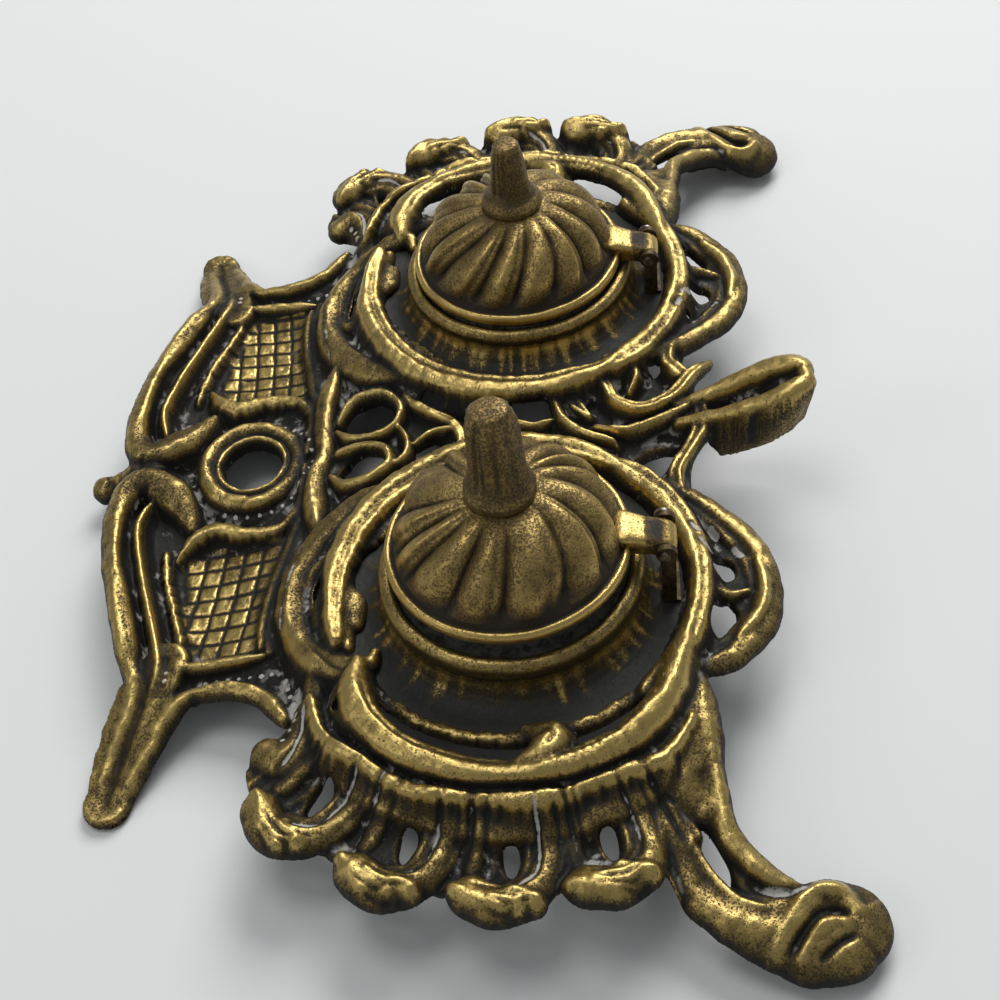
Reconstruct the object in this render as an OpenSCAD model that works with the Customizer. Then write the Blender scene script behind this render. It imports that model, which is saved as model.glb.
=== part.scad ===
// Desk inkstand: a pierced scroll-work casting that carries two wells, each with a lift-out
// liner and a hinged melon lid. The wells lie along X, the writer sits on the -Y side, and
// the stand rests on two scroll toes at the back and two leaf tips at the front.

/* [Wells] */
// Distance between the two well axes
well_spacing = 84; // [80:1:104]
// Centre-line radius of the bead round each saucer
ring_r = 33.6; // [32.5:0.1:35]
// Radius of the bore that takes the liner
bore_r = 19.6; // [16:0.1:20.5]
// Height of the saucer floor above the table
floor_z = 18.2; // [15:0.1:24]
// Height of the collar above the saucer floor
collar_h = 8.1; // [6:0.1:12]
// Thickness of the saucer floor
floor_t = 2.8; // [2:0.1:4]
// Wall of the collar at its lip, outside the liner's seat
lip_wall = 1.6; // [1.2:0.1:2.5]

/* [Lids] */
// Radius of the lid's rim
lid_r = 22; // [18:0.1:23.5]
// Height of the melon dome above the lid's seat
dome_h = 15; // [11:0.1:20]
// Wall of the dome
dome_wall = 1.8; // [1.2:0.1:2.4]
// Number of gadroons round the dome
gadroons = 16; // [12:1:20]
// Depth of the grooves between gadroons
groove_depth = 1.5; // [0.4:0.1:1.8]
// Turn of each gadroon from rim to crown, in degrees
swirl = 16; // [0:1:40]
// How far the right lid stands up on its taller liner
right_lid_rise = 4; // [0:0.1:6]
/* [Finials] */
// Length of the left finial above its lid
left_finial_len = 15.5; // [10:0.5:24]
// Length of the right finial above its lid
right_finial_len = 20.5; // [10:0.5:24]
// Radius of the finial at its base
finial_r = 6.2; // [5:0.1:8]
// Radius of the threaded shank that goes through the lid
shank_r = 1.6; // [1.2:0.1:2.2]
// Width across flats of the nut inside the lid
nut_flats = 6.5; // [5.5:0.1:8]
// Thickness of the nut
nut_t = 2.2; // [1.6:0.1:3]

/* [Hinges] */
// Radius of the hinge pin
pin_r = 1; // [0.8:0.05:1.4]
// Width of the knuckle on the lid's tab
knuckle_w = 6.2; // [5:0.1:9]
// Outer radius of the knuckle
knuckle_r = 2.5; // [2.2:0.1:3.2]
// Distance of the pin behind the well axis
hinge_y = 27.6; // [26.5:0.1:29]
// Thickness of the bracket's ears
ear_t = 1.1; // [0.8:0.1:1.6]

/* [Liners] */
// Wall of the liner
liner_wall = 1.8; // [1.2:0.1:2.6]
// Depth of the liner below its flange
liner_depth = 20.5; // [14:0.5:21]
// Thickness of the liner's flange
flange_t = 1.4; // [1:0.1:2]

/* [Casting] */
// Width of half the front panel, from the middle to its side edge
panel_half_w = 57; // [50:0.5:62]
// Depth of the front panel, from the wells to the front rim
panel_depth = 38; // [32:0.5:44]
// Height of the front panel above the table
panel_z = 8; // [6.5:0.1:10]
// Radius of the shell fan at the tips of its lobes
fan_r = 61; // [57:0.5:66]
// Distance of each back toe from its well axis
toe_r = 82.5; // [76:0.5:92]
// Thickness of the pierced plate
plate_t = 3; // [2.4:0.1:4]
// Length of the raised crest behind the wells
crest_len = 20.5; // [16:0.5:28]
// Height of the crest's tip above the table
crest_z = 30.5; // [24:0.5:36]

/* [Hidden] */
brass = [0.72, 0.56, 0.27];
dark_brass = [0.5, 0.38, 0.2];
glass = [0.55, 0.62, 0.6, 0.6];
steel = [0.45, 0.43, 0.4];
well_x = well_spacing / 2;
// Middle of the whole stand from front to back, behind which the wells lie
well_y = 15.1;
run = 0.06;
seat = 0.3;
lip_z = floor_z + collar_h;
seat_r = bore_r + 1.9;
rim_in = min(lid_r - 5, bore_r - 2.6);
lip_r = seat_r + lip_wall;
seat_z = lip_z - flange_t - 0.1;
mould_r = ring_r + 6.5;
bead_r = ring_r + 11.3;
turns = 24;
// Angles of the corners of a moulding and of a thin rib, seen along them: a rounded back over
// a flat underside
moulding = [-32, 30, 90, 150, 212];
rib = [-38, 52, 128, 218];

// Curve through points: each point holds its place, then its half width and half height
function between(a, b, c, d, t) = 0.5 * (2 * b + (c - a) * t
    + (2 * a - 5 * b + 4 * c - d) * t * t + (3 * b - a - 3 * c + d) * t * t * t);
function curve(p, n) = [for (i = [0 : len(p) - 2], k = [0 : n - 1])
    between(p[max(i - 1, 0)], p[i], p[i + 1], p[min(i + 2, len(p) - 1)], k / n),
    p[len(p) - 1]];
function flat(v) = [v[0], v[1], 0];
function heading(p, i) = let (a = p[max(i - 1, 0)], b = p[min(i + 1, len(p) - 1)])
    flat(b - a) / max(norm(flat(b - a)), 0.001);
function section(p, i, scale, ahead, corners) = let (t = heading(p, i), s = [-t[1], t[0], 0],
    c = [p[i][0], p[i][1], p[i][2]] + t * ahead)
    [for (a = corners) c + s * p[i][3] * scale * cos(a) + [0, 0, 1] * p[i][4] * scale * sin(a)];
function flatten(list) = [for (row = list, v = row) v];

// Closed skin over a list of rings that all have the same number of points
module skin(rings) {
    m = len(rings[0]);
    n = len(rings);
    polyhedron(flatten(rings), concat(
        [[for (j = [0 : m - 1]) j]],
        [for (i = [0 : n - 2], j = [0 : m - 1]) let (k = (j + 1) % m, a = i * m, b = a + m)
            each [[a + j, b + j, b + k], [a + j, b + k, a + k]]],
        [[for (j = [m - 1 : -1 : 0]) (n - 1) * m + j]]), convexity = 8);
}

// Rounded moulding along a curve, with soft ends, and the thin rib that goes with it
module scroll(points, n = 2, corners = moulding) {
    p = curve(points, n);
    last = len(p) - 1;
    skin(concat([section(p, 0, 0.5, -0.7 * p[0][3], corners)],
        [for (i = [0 : last]) section(p, i, 1, 0, corners)],
        [section(p, last, 0.5, 0.7 * p[last][3], corners)]));
}
module thin(points) {
    scroll(points, 1, rib);
}

// Sheet of even thickness under a grid of points
module sheet(grid, t) {
    n = len(grid);
    m = len(grid[0]);
    top = flatten(grid);
    low = [for (v = top) v - [0, 0, t]];
    o = n * m;
    edge = concat([for (j = [0 : m - 1]) j], [for (i = [1 : n - 1]) i * m + m - 1],
        [for (j = [m - 2 : -1 : 0]) (n - 1) * m + j], [for (i = [n - 2 : -1 : 1]) i * m]);
    polyhedron(concat(top, low), concat(
        [for (i = [0 : n - 2], j = [0 : m - 2]) let (a = i * m + j, b = a + m)
            each [[a, a + 1, b + 1], [a, b + 1, b]]],
        [for (i = [0 : n - 2], j = [0 : m - 2]) let (a = o + i * m + j, b = a + m)
            each [[a, b + 1, a + 1], [a, b, b + 1]]],
        [for (k = [0 : len(edge) - 1]) let (a = edge[k], b = edge[(k + 1) % len(edge)])
            each [[a, a + o, b + o], [a, b + o, b]]]), convexity = 8);
}

// Place round the right-hand well axis, and place on the front panel
function by_well(a, r, z, w, h) = [well_x + r * cos(a), r * sin(a), z, w, h];
function spot(a, r, z) = [well_x + r * cos(a), r * sin(a), z];
panel_back = ring_r + 11;
function by_panel(u, v, z, w, h) = [u * panel_half_w, -panel_back - v * panel_depth, z, w, h];

module both_sides() {
    children();
    mirror([1, 0, 0]) children();
}

// Saucer with its flared collar and the seat for the liner
module saucer() {
    translate([well_x, 0, 0]) rotate_extrude($fn = turns) polygon([
        [bore_r, floor_z - floor_t], [ring_r - 0.6, floor_z - floor_t],
        [ring_r - 0.6, floor_z], [lip_r + 3.6, floor_z], [lip_r - 0.8, lip_z - 3.4],
        [lip_r, lip_z - 1.4], [lip_r - 0.3, lip_z], [seat_r, lip_z], [seat_r, seat_z],
        [bore_r, seat_z]]);
}

// Bead round the saucer: two C scrolls that overlap on the inner side, and a thin outer lip
module saucer_bead() {
    z = floor_z + 2.2;
    scroll([for (a = [50 : 17 : 152]) by_well(a, ring_r, z, 2.1, 2.2)], 1);
    scroll([for (a = [148 : 18 : 292]) by_well(a, ring_r - 0.3, z + 0.2,
        2.8 - 0.9 * pow((a - 220) / 72, 2), 2.2)], 1);
    thin([for (a = [-62 : 24 : 56]) by_well(a, ring_r - 0.4, z - 1, 1.2, 1.6)]);
}

// Bold C moulding outside the crescents, with the wavy bead below it and the leaf curl
module outer_mouldings() {
    scroll([by_well(-52, ring_r + 1, 21, 2, 2), by_well(-41, ring_r + 3.6, 20.6, 2.8, 2.6),
        by_well(-28, mould_r - 0.8, 19.6, 3.2, 3), by_well(0, mould_r, 18.8, 3.3, 3.2),
        by_well(28, mould_r - 0.2, 19.6, 3.3, 3.2), by_well(52, ring_r + 1.6, 21, 2.4, 2.4)]);
    scroll([for (a = [-48 : 16 : 32]) by_well(a, bead_r - 1.5, 16.8, 1.8, 2.2)], 1);
    scroll([by_well(4, ring_r - 2, 20, 1.6, 1.6), by_well(11, ring_r + 1.4, 20.6, 2.6, 2.2),
        by_well(7, ring_r + 4.4, 20, 2.8, 2.6), by_well(2, mould_r - 1, 19.4, 2, 2)], 1);
}

// Shell fan: one sheet, with a slot in each lobe and two ribs that close round the slot
lobe_tip = [-42, -22, -2, 17];
function fan_z(r) = 17 - 5 * pow((r - mould_r) / (fan_r - mould_r), 1.4);
module fan_sheet() {
    sheet([for (i = [0 : 2]) let (r = mould_r + (fan_r - 2 - mould_r) * i / 2)
        [for (a = [-52 : 14 : 32]) spot(a, r - i, fan_z(r))]], plate_t);
}
module fan_slots() {
    for (a = lobe_tip) translate(spot(a + 3, mould_r + 10.6, 0)) rotate(a + 3)
        linear_extrude(30) hull() for (s = [-1, 1]) translate([3.2 * s, 0]) circle(1.5, $fn = 6);
}
module lobe(a) {
    scroll([by_well(a - 4, bead_r - 1, 16.2, 1.6, 1.8), by_well(a - 5, bead_r + 6, 14.6, 1.8, 2.2),
        by_well(a - 7, fan_r - 4.4, 12, 3, 3), by_well(a - 2.6, fan_r - 1.9, 10.6, 4.2, 3.8),
        by_well(a + 4.4, fan_r - 3, 11.2, 4.2, 3.8), by_well(a + 9, fan_r - 6.4, 12.8, 2.3, 2.6),
        by_well(a + 8.6, bead_r - 1, 16.2, 1.6, 1.8)], 1);
}
module fan() {
    difference() {
        fan_sheet();
        fan_slots();
    }
    for (a = lobe_tip) lobe(a);
    scroll([by_well(-62, ring_r + 6, 15, 2.4, 2.6), by_well(-54, ring_r + 10, 14.2, 3, 2.8),
        by_well(-52, ring_r + 16, 12.6, 3.4, 3.2), by_well(-56, ring_r + 20.5, 11.6, 3.4, 3.6)], 1);
}

// Corner leg: a bowed sheet with an eyelet slot, edged by two ribs, ending in a scroll toe
toe = [well_x + toe_r * cos(38.7), toe_r * sin(38.7)];
module leg_sheet() {
    inner = curve([spot(54, 42, 17), spot(41, 46, 15), spot(37.5, 54, 13), spot(37, 63, 10.4),
        [toe[0] - 7, toe[1] - 4, 8]], 2);
    outer = curve([spot(24, 42, 16.4), spot(26, 50, 14), spot(27.6, 60, 11.4), spot(29.5, 69, 9),
        [toe[0] + 4, toe[1] - 6, 7]], 2);
    sheet([for (i = [0 : len(inner) - 1]) [outer[i], (outer[i] + inner[i]) / 2 + [0, 0, 0.8],
        inner[i]]], plate_t + 0.6);
}
module corner_foot() {
    difference() {
        leg_sheet();
        translate(spot(33, 61.3, 0)) rotate(18) scale([1, 0.24, 1]) cylinder(30, r = 9.6, $fn = 10);
    }
    scroll([by_well(50, 42, 17.6, 2.4, 2.6), by_well(42.5, 46.6, 16, 2.2, 2.4),
        by_well(37.4, 52, 14, 2, 2.2), by_well(35.6, 59, 12.2, 1.8, 2.2),
        by_well(36, 66, 10.6, 2, 2.4), [toe[0] - 7, toe[1] - 8, 9, 2.4, 3]], 1, rib);
    scroll([by_well(26, 46, 15.4, 2.2, 2.2), by_well(27.4, 57, 12.4, 2, 2.4),
        by_well(29.4, 67, 9.6, 3, 3.4), by_well(32.6, 74, 6.6, 4.8, 4.6),
        [toe[0] + 1.4, toe[1] - 4.4, 4.2, 7, 6], [toe[0] + 0.6, toe[1], 3, 7.8, 6.6],
        [toe[0] - 0.8, toe[1] + 4.6, 2.4, 6.8, 5.8]], 1);
    scroll([[toe[0] + 2, toe[1] - 7, 9.4, 1.4, 1.6], [toe[0] - 4, toe[1] - 4, 10.4, 1.8, 2],
        [toe[0] - 5.2, toe[1] + 0.4, 10.2, 2, 2.2], [toe[0] - 1.6, toe[1] + 1.6, 9.8, 1.8, 1.8]], 1);
}

// Loop handle behind each well, with the thorn that crosses its opening
module side_loop() {
    scroll([by_well(140, ring_r + 1, 19.6, 2.2, 2.4), by_well(124, ring_r + 2.4, 18, 2.6, 2.6),
        by_well(110, ring_r + 8, 16.6, 2.8, 2.6), by_well(95, ring_r + 12.8, 15.2, 2.9, 2.8),
        by_well(78, ring_r + 11.2, 14.8, 2.9, 2.8), by_well(62, ring_r + 5.4, 16.2, 2.7, 2.6),
        by_well(56, ring_r + 1.5, 17.4, 2, 2)]);
    scroll([by_well(94, ring_r, 19, 1.8, 2), by_well(89, ring_r + 4, 18, 1.8, 2),
        by_well(84, ring_r + 7.4, 16.8, 1.4, 1.6)], 1, rib);
}

// Front C scroll of each well, and the arched bar inside it
module front_scroll() {
    scroll([by_well(-138, ring_r + 1, 19.2, 2, 2.2), by_well(-126, ring_r + 6, 17, 2.8, 2.8),
        by_well(-111, ring_r + 7.6, 14, 3.4, 3.4), by_well(-96, ring_r + 9.4, 12.4, 3.4, 3.6),
        by_well(-84, ring_r + 7.4, 12.8, 3.2, 3.4), by_well(-72, ring_r + 4.4, 15, 3, 3),
        by_well(-63, ring_r + 1, 18, 2.6, 2.6), by_well(-61, ring_r - 3, 20, 1.8, 1.8)]);
    scroll([by_well(-104, ring_r + 5.6, 15.4, 1.8, 2), by_well(-104.5, ring_r + 2.6, 17.4, 2, 2.2),
        by_well(-98, ring_r + 0.2, 18.4, 2.1, 2.2), by_well(-84, ring_r + 0.6, 18, 2, 2.2),
        by_well(-74, ring_r + 1.2, 17.4, 1.8, 2)], 1, rib);
}

// Plate that joins the wells, the front panel and the crest: an outline cut from a bent slab
module web_outline() {
    difference() {
        union() {
            both_sides() polygon(concat([[0, 38], [0, -panel_back - 4], [13, -panel_back - 2.6],
                [28, -panel_back - 3], [42, -panel_back - 3.4], [55, -panel_back - 2], [65, -42],
                [70, -32]],
                [for (a = [-50 : -26 : -206]) [well_x + (ring_r - 2) * cos(a), (ring_r - 2) * sin(a)]],
                [[24.6, 31], [20, 33.6], [11, 33.6]]));
        }
        both_sides() translate([40, -38.4]) rotate(-4) scale([1, 0.24]) circle(9.6, $fn = 8);
        for (s = [-1, 1]) translate([7.3 * s, -31.2]) rotate(8 * s) scale([0.68, 1])
            circle(5.4, $fn = 8);
        translate([-8.8, -16.8]) rotate(-50) scale([1, 0.62]) circle(4.2, $fn = 8);
        translate([3.4, -17]) rotate(60) scale([1, 0.66]) circle(4.6, $fn = 8);
        translate([-4.8, 1.6]) rotate(70) scale([1, 0.72]) circle(4.8, $fn = 8);
        translate([-17.6, 27.4]) rotate(50) scale([1, 0.5]) circle(4.6, $fn = 8);
        translate([9.4, 28.2]) rotate(-60) scale([1, 0.55]) circle(4.8, $fn = 8);
    }
}
module web() {
    intersection() {
        linear_extrude(40) web_outline();
        sheet([for (x = [-80, 80]) [for (p = [[-52, 10.4], [-45, 11.4], [-38, 14], [-30, 16],
            [-18, 17], [40, 17.6]]) [x, p[0], p[1]]]], plate_t);
    }
}

// Mouldings between the wells, as the pierced strap has them: not the same on both sides
module middle_work() {
    for (s = [-1, 1]) scroll([[s * 1.2, -38, 12.6, 1.8, 2], [s * 0.8, -31.6, 14.6, 1.6, 1.8],
        [s * 3, -26, 16.4, 1.8, 2], [s * 8, -24, 17, 2, 2.2], [s * 12.2, -29, 16.4, 2, 2.2],
        [s * 12, -34.4, 14.4, 2, 2.2], [s * 8.6, -38.6, 12.6, 2, 2.2]], 1);
    scroll([[-8.4, -23, 17, 1.8, 2], [-6.2, -16.9, 17.4, 1.8, 2], [-1.5, -12.4, 17.6, 2, 2.2],
        [5, -9.6, 17.6, 2, 2]], 1, rib);
    scroll([[8.8, -6, 17.6, 1.8, 2], [0, -6.6, 17.8, 2, 2.2], [-8, -4.8, 17.8, 1.8, 2],
        [-9.8, 0.6, 18, 1.9, 2.2], [-7.4, 6, 18, 2, 2.2], [0.2, 10, 18, 2, 2.2],
        [6.6, 16.6, 18, 2, 2]], 1);
    scroll([[-9.8, 9, 18, 1.8, 2], [-4.4, 12, 18, 1.8, 2]], 1, rib);
    scroll([[-15, 10.7, 18, 1.6, 2], [-11.8, 17, 18.2, 2, 2.2], [-6, 20, 18.4, 2.2, 2.4],
        [-2.6, 26.2, 18.6, 2.2, 2.4], [-4.4, 32, 19, 2.4, 2.6], [-6, 38, 20, 2, 2.4]], 1);
    scroll([[1.6, 15.8, 18, 1.6, 1.8], [3.2, 21.3, 18.2, 2, 2.2], [1.6, 28.3, 18.6, 2, 2.2],
        [2.4, 34, 19, 2, 2.2]], 1, rib);
    for (s = [-1, 1]) scroll([[s * 4, 37, 19.2, 2.4, 2.6], [s * 10, 34, 18.8, 2.2, 2.4],
        [s * 16, 32, 18.6, 2.2, 2.4], [s * 24, 31, 19, 2.2, 2.4]], 1);
}

// Crest that rises behind the wells: a thick leaf with a bordered hollow in its top
crest_y = 36;
module crest_side(lift) {
    s = (crest_z - 20.4) / crest_len;
    translate([-10, crest_y, lift]) rotate([90, 0, 90]) linear_extrude(20) polygon([[-4, 14.6],
        [0, 12], [crest_len * 0.4, 17.4], [crest_len * 0.88, crest_z - 6.6],
        [crest_len, crest_z - 4.6], [crest_len + 1, crest_z - 2.4], [crest_len * 0.86, crest_z],
        [crest_len * 0.4, 21 + s * crest_len * 0.5], [0, 21], [-4, 19]]);
}
module crest_outline() {
    polygon([for (p = [[-3.4, -0.18], [-6, 0.16], [-6.8, 0.5], [-6.4, 0.78], [-4.6, 0.96],
        [-1.6, 1.04], [1.6, 1.04], [4.6, 0.96], [6.4, 0.78], [6.8, 0.5], [6, 0.16], [3.4, -0.18]])
        [p[0], crest_y + p[1] * crest_len]]);
}
module crest() {
    difference() {
        intersection() {
            linear_extrude(60) crest_outline();
            crest_side(0);
        }
        intersection() {
            linear_extrude(60) offset(delta = -1.9) crest_outline();
            translate([0, 0.4, 0]) crest_side(7);
        }
    }
    scroll([[0, crest_y + 1, 20, 1.2, 1.6], [0.8, crest_y + crest_len * 0.4, 23.4, 1.4, 1.8],
        [0, crest_y + crest_len * 0.84, crest_z - 3, 1.2, 1.6]], 1);
}

// Front panel: dished sheet, rim of two ridges, borders and the pierced oval ring
module panel_sheet() {
    back = curve([[0, 0], [0.24, -0.02], [0.46, 0.01], [0.68, 0.04], [0.86, 0.04], [0.99, -0.02]], 1);
    front = curve([[0, 0.92], [0.24, 0.96], [0.46, 0.9], [0.68, 0.8], [0.86, 0.7], [1, 0.6]], 1);
    rows = 4;
    sheet([for (i = [0 : len(back) - 1]) [for (k = [0 : rows]) let (t = 1 - k / rows,
        uv = back[i] + (front[i] - back[i]) * t, p = by_panel(uv[0], uv[1], 0, 0, 0))
        [p[0], p[1], panel_z + 3 * pow(1 - t, 3) + 1.2 * pow(t, 4) - 0.6 * sin(180 * t)]]],
        plate_t);
}
module tip_leaf() {
    scroll([by_panel(0.9, 0.56, panel_z - 0.6, 4.6, 2.4), by_panel(1.02, 0.62, panel_z - 2.4, 4.8, 2.8),
        by_panel(1.13, 0.69, panel_z - 4.6, 4.6, 2.8), by_panel(1.26, 0.755, 1.2, 4, 2.6)], 1);
}
module front_rim() {
    z = panel_z + 2;
    scroll([by_panel(0.24, 0.62, z - 1, 2, 2), by_panel(0.1, 0.75, z, 3, 3),
        by_panel(0.05, 0.9, z, 3.4, 3.2), by_panel(0.16, 0.985, z + 0.4, 3, 3),
        by_panel(0.37, 0.97, z + 1, 2.8, 3), by_panel(0.6, 0.86, z + 1.4, 2.8, 3),
        by_panel(0.78, 0.77, z + 0.8, 2.8, 3), by_panel(0.92, 0.69, z - 0.8, 2.6, 3)]);
    scroll([by_panel(0.9, 0.7, z - 0.6, 2.4, 2.8), by_panel(1.08, 0.74, z - 3.8, 2.2, 2.8),
        by_panel(1.28, 0.835, 1.1, 1.8, 2.4)], 1);
    thin([by_panel(0.17, 0.86, z - 1.2, 1.5, 2), by_panel(0.42, 0.84, z - 0.8, 1.6, 2.2),
        by_panel(0.64, 0.74, z - 0.4, 1.6, 2.2), by_panel(0.84, 0.62, z - 1, 1.6, 2.2),
        by_panel(1.0, 0.55, z - 2.4, 1.7, 2.4), by_panel(1.14, 0.61, z - 5.2, 1.7, 2.4),
        by_panel(1.29, 0.685, 1.2, 1.5, 2.2)]);
}
module panel_borders() {
    z = panel_z + 1.6;
    thin([by_panel(0.32, 0.04, z + 0.4, 1.6, 2.2), by_panel(0.5, 0.08, z + 0.4, 1.6, 2.2),
        by_panel(0.68, 0.12, z + 0.4, 1.6, 2.2), by_panel(0.85, 0.15, z, 1.6, 2.2),
        by_panel(0.87, 0.46, z - 0.4, 1.4, 2)]);
    thin([by_panel(1.12, -0.06, z + 1.6, 2, 2.4), by_panel(1.01, 0.06, z + 0.6, 1.9, 2.2),
        by_panel(0.98, 0.24, z, 1.7, 2.2), by_panel(0.99, 0.4, z - 0.8, 1.8, 2.4),
        by_panel(1.05, 0.52, z - 2.6, 1.9, 2.4)]);
    thin([by_panel(0.02, 0, z + 1.4, 1.8, 2.2), by_panel(0.23, 0, z + 0.8, 1.6, 2),
        by_panel(0.32, 0.1, z, 1.6, 2.2), by_panel(0.28, 0.32, z - 0.2, 1.6, 2.2),
        by_panel(0.3, 0.5, z - 0.4, 1.6, 2.2), by_panel(0.38, 0.65, z - 0.6, 1.4, 2)]);
}
ring_at = [0, -panel_back - 0.3 * panel_depth, panel_z + 1];
module pen_ring() {
    translate([0, ring_at[1], ring_at[2] - 2.4]) scale([1.08, 1, 1]) rotate_extrude($fn = 20)
        polygon([[5, 0], [11.4, 0], [11.2, 2.8], [9.6, 4.7], [7.4, 4.8], [5, 3]]);
}
module ring_hole() {
    translate([ring_at[0], ring_at[1], 0]) scale([1.08, 1, 1])
        cylinder(30, r = 6.5, $fn = 20);
}
module front_ball() {
    scroll([by_panel(0, 0.92, panel_z + 0.6, 3, 3), by_panel(0, 1.1, panel_z - 2.2, 2.4, 2.6),
        by_panel(0, 1.19, panel_z - 2.4, 2.8, 3)], 1);
}

// The whole casting, in one piece
module casting() {
    difference() {
        union() {
            both_sides() {
                saucer();
                saucer_bead();
                outer_mouldings();
                fan();
                corner_foot();
                side_loop();
                front_scroll();
                panel_sheet();
                tip_leaf();
                front_rim();
                panel_borders();
            }
            web();
            middle_work();
            crest();
            pen_ring();
            front_ball();
        }
        ring_hole();
        both_sides() translate([well_x, 0, 0]) cylinder(seat_z, r = bore_r, $fn = turns);
        translate([-200, -200, -20]) cube([400, 400, 20]);
    }
}
module stand() {
    color(brass) translate([0, well_y, 0]) casting();
}

// Flanged cup that hangs in the bore and holds the ink; its neck may stand above the collar
module liner(x, neck) {
    top = seat_z + flange_t + neck;
    r = bore_r - seat;
    color(glass) translate([x, well_y, 0]) rotate_extrude($fn = turns) polygon(concat(
        [[0, seat_z - liner_depth], [r - 3, seat_z - liner_depth], [r, seat_z - liner_depth + 4],
         [r, seat_z], [seat_r - seat, seat_z], [seat_r - seat, seat_z + flange_t]],
        neck > 0 ? [[r, seat_z + flange_t], [r, top]] : [],
        [[r - liner_wall, top], [r - liner_wall, seat_z - liner_depth + 5],
         [r - liner_wall - 2.6, seat_z - liner_depth + liner_wall + 0.4],
         [0, seat_z - liner_depth + liner_wall]]));
}

// Melon lid, drawn with its seat at z = 0 and its axis at the origin
dome_r = lid_r - 1.6;
rim_t = 2.2;
function dome_profile(t) = [dome_r * pow(cos(90 * t * 0.88), 0.98) + finial_r * 0.3 * t,
    rim_t + (dome_h - rim_t) * pow(sin(90 * t), 0.94)];
finial_seat = dome_h - 0.2;
module gadrooned_dome() {
    m = gadroons * 4;
    levels = 6;
    rings = [for (i = [0 : levels]) let (t = i / levels, q = dome_profile(t))
        [for (j = [0 : m - 1]) let (a = 360 * j / m + swirl * t, wave = abs(sin(gadroons * a / 2
            - gadroons * swirl * t / 2)), r = q[0] - groove_depth * (1 - wave) * sin(180 * min(t + 0.15, 0.92)))
            [r * cos(a), r * sin(a), q[1]]]];
    skin(rings);
}
module lid_shape(pin_z) {
    bored = pin_r + run;
    difference() {
        union() {
            gadrooned_dome();
            rotate_extrude($fn = turns) polygon([[rim_in, 0], [lid_r - 0.4, 0],
                [lid_r, 0.6], [lid_r, 1.6], [lid_r - 1.1, 2.8], [rim_in, 3.4]]);
            hinge_tab(pin_z);
        }
        rotate_extrude($fn = turns) polygon([[0, -1], [min(dome_r - dome_wall - 0.4, bore_r - 1.4), -1],
            [min(dome_r - dome_wall - 1.2, bore_r - 2.2), 4], [dome_r - dome_wall - 5.4, dome_h * 0.62],
            [nut_flats, dome_h - dome_wall - 1.6], [0, dome_h - dome_wall - 1.6]]);
        cylinder(dome_h + 2, r = shank_r + run, $fn = turns);
        translate([0, 0, finial_seat]) cylinder(3, r = finial_r + 0.1, $fn = turns);
        translate([-knuckle_w, hinge_y, pin_z]) rotate([0, 90, 0])
            cylinder(2 * knuckle_w, r = bored, $fn = turns);
    }
}
// Flat-topped tab from the rim to the knuckle
module hinge_tab(pin_z) {
    translate([-knuckle_w / 2, 0, 0]) rotate([90, 0, 90]) linear_extrude(knuckle_w) union() {
        translate([hinge_y, pin_z]) circle(knuckle_r, $fn = turns);
        polygon([[lid_r - 3.4, 0.8], [lid_r - 0.2, 0.4], [hinge_y, pin_z - 1],
            [hinge_y + knuckle_r * 0.9, pin_z + 1], [hinge_y + knuckle_r, pin_z + knuckle_r],
            [lid_r - 3.4, pin_z + knuckle_r + 0.8]]);
    }
}
// The pin stands this far above the lid's seat
pin_above = 1.2;
module lid(x, rise) {
    color(dark_brass) translate([x, well_y, lip_z + seat + rise]) lid_shape(pin_above);
}

// Finial: a tapering knop on a stepped foot, with a shank that goes through the crown
module finial(x, rise, len, tip_r) {
    foot = finial_seat;
    color(dark_brass) translate([x, well_y, lip_z + seat + rise]) rotate_extrude($fn = turns)
        polygon([[0, dome_h - dome_wall - 1.6 - nut_t - 0.8], [shank_r, dome_h - dome_wall - 1.6
            - nut_t - 0.8], [shank_r, foot], [finial_r, foot], [finial_r, foot + 2],
            [finial_r - 0.9, foot + 3], [finial_r - 1.3, foot + len * 0.35],
            [tip_r + 0.5, foot + len * 0.8], [tip_r, foot + len - 1.2],
            [tip_r * 0.7, foot + len - 0.2], [0, foot + len]]);
}
module finial_nut(x, rise) {
    z = dome_h - dome_wall - 1.6 - nut_t;
    color(steel) translate([x, well_y, lip_z + seat + rise + z]) difference() {
        cylinder(nut_t, r = nut_flats / 2 / cos(30), $fn = 6);
        translate([0, 0, -1]) cylinder(nut_t + 2, r = shank_r, $fn = turns);
    }
}

// Bracket on the saucer: a foot and two ears that stand on each side of the knuckle
module hinge_bracket(x, rise) {
    pin_z = lip_z + seat + rise + pin_above;
    inner = knuckle_w / 2 + seat;
    h = pin_z - floor_z;
    color(brass) translate([x, well_y + hinge_y, floor_z]) difference() {
        union() {
            translate([-inner - ear_t, -0.7, 0]) cube([2 * (inner + ear_t), 3.3, ear_t]);
            for (s = [-1, 1]) translate([s * (inner + ear_t / 2) - ear_t / 2, 0, 0])
                rotate([90, 0, 90]) linear_extrude(ear_t) union() {
                    translate([-0.7, 0]) square([2.6, h]);
                    translate([0.3, h]) circle(1.9, $fn = turns);
                }
        }
        translate([-inner - 3, 0, h]) rotate([0, 90, 0])
            cylinder(2 * inner + 6, r = pin_r + 0.01, $fn = turns);
    }
}
module hinge_pin(x, rise) {
    reach = knuckle_w / 2 + seat + ear_t;
    color(steel) translate([x - reach, well_y + hinge_y, lip_z + seat + rise + pin_above])
        rotate([0, 90, 0]) union() {
            cylinder(2 * reach + 0.6, r = pin_r, $fn = turns);
            translate([0, 0, -0.8]) cylinder(0.8, r = pin_r + 0.6, $fn = turns);
        }
}

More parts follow.
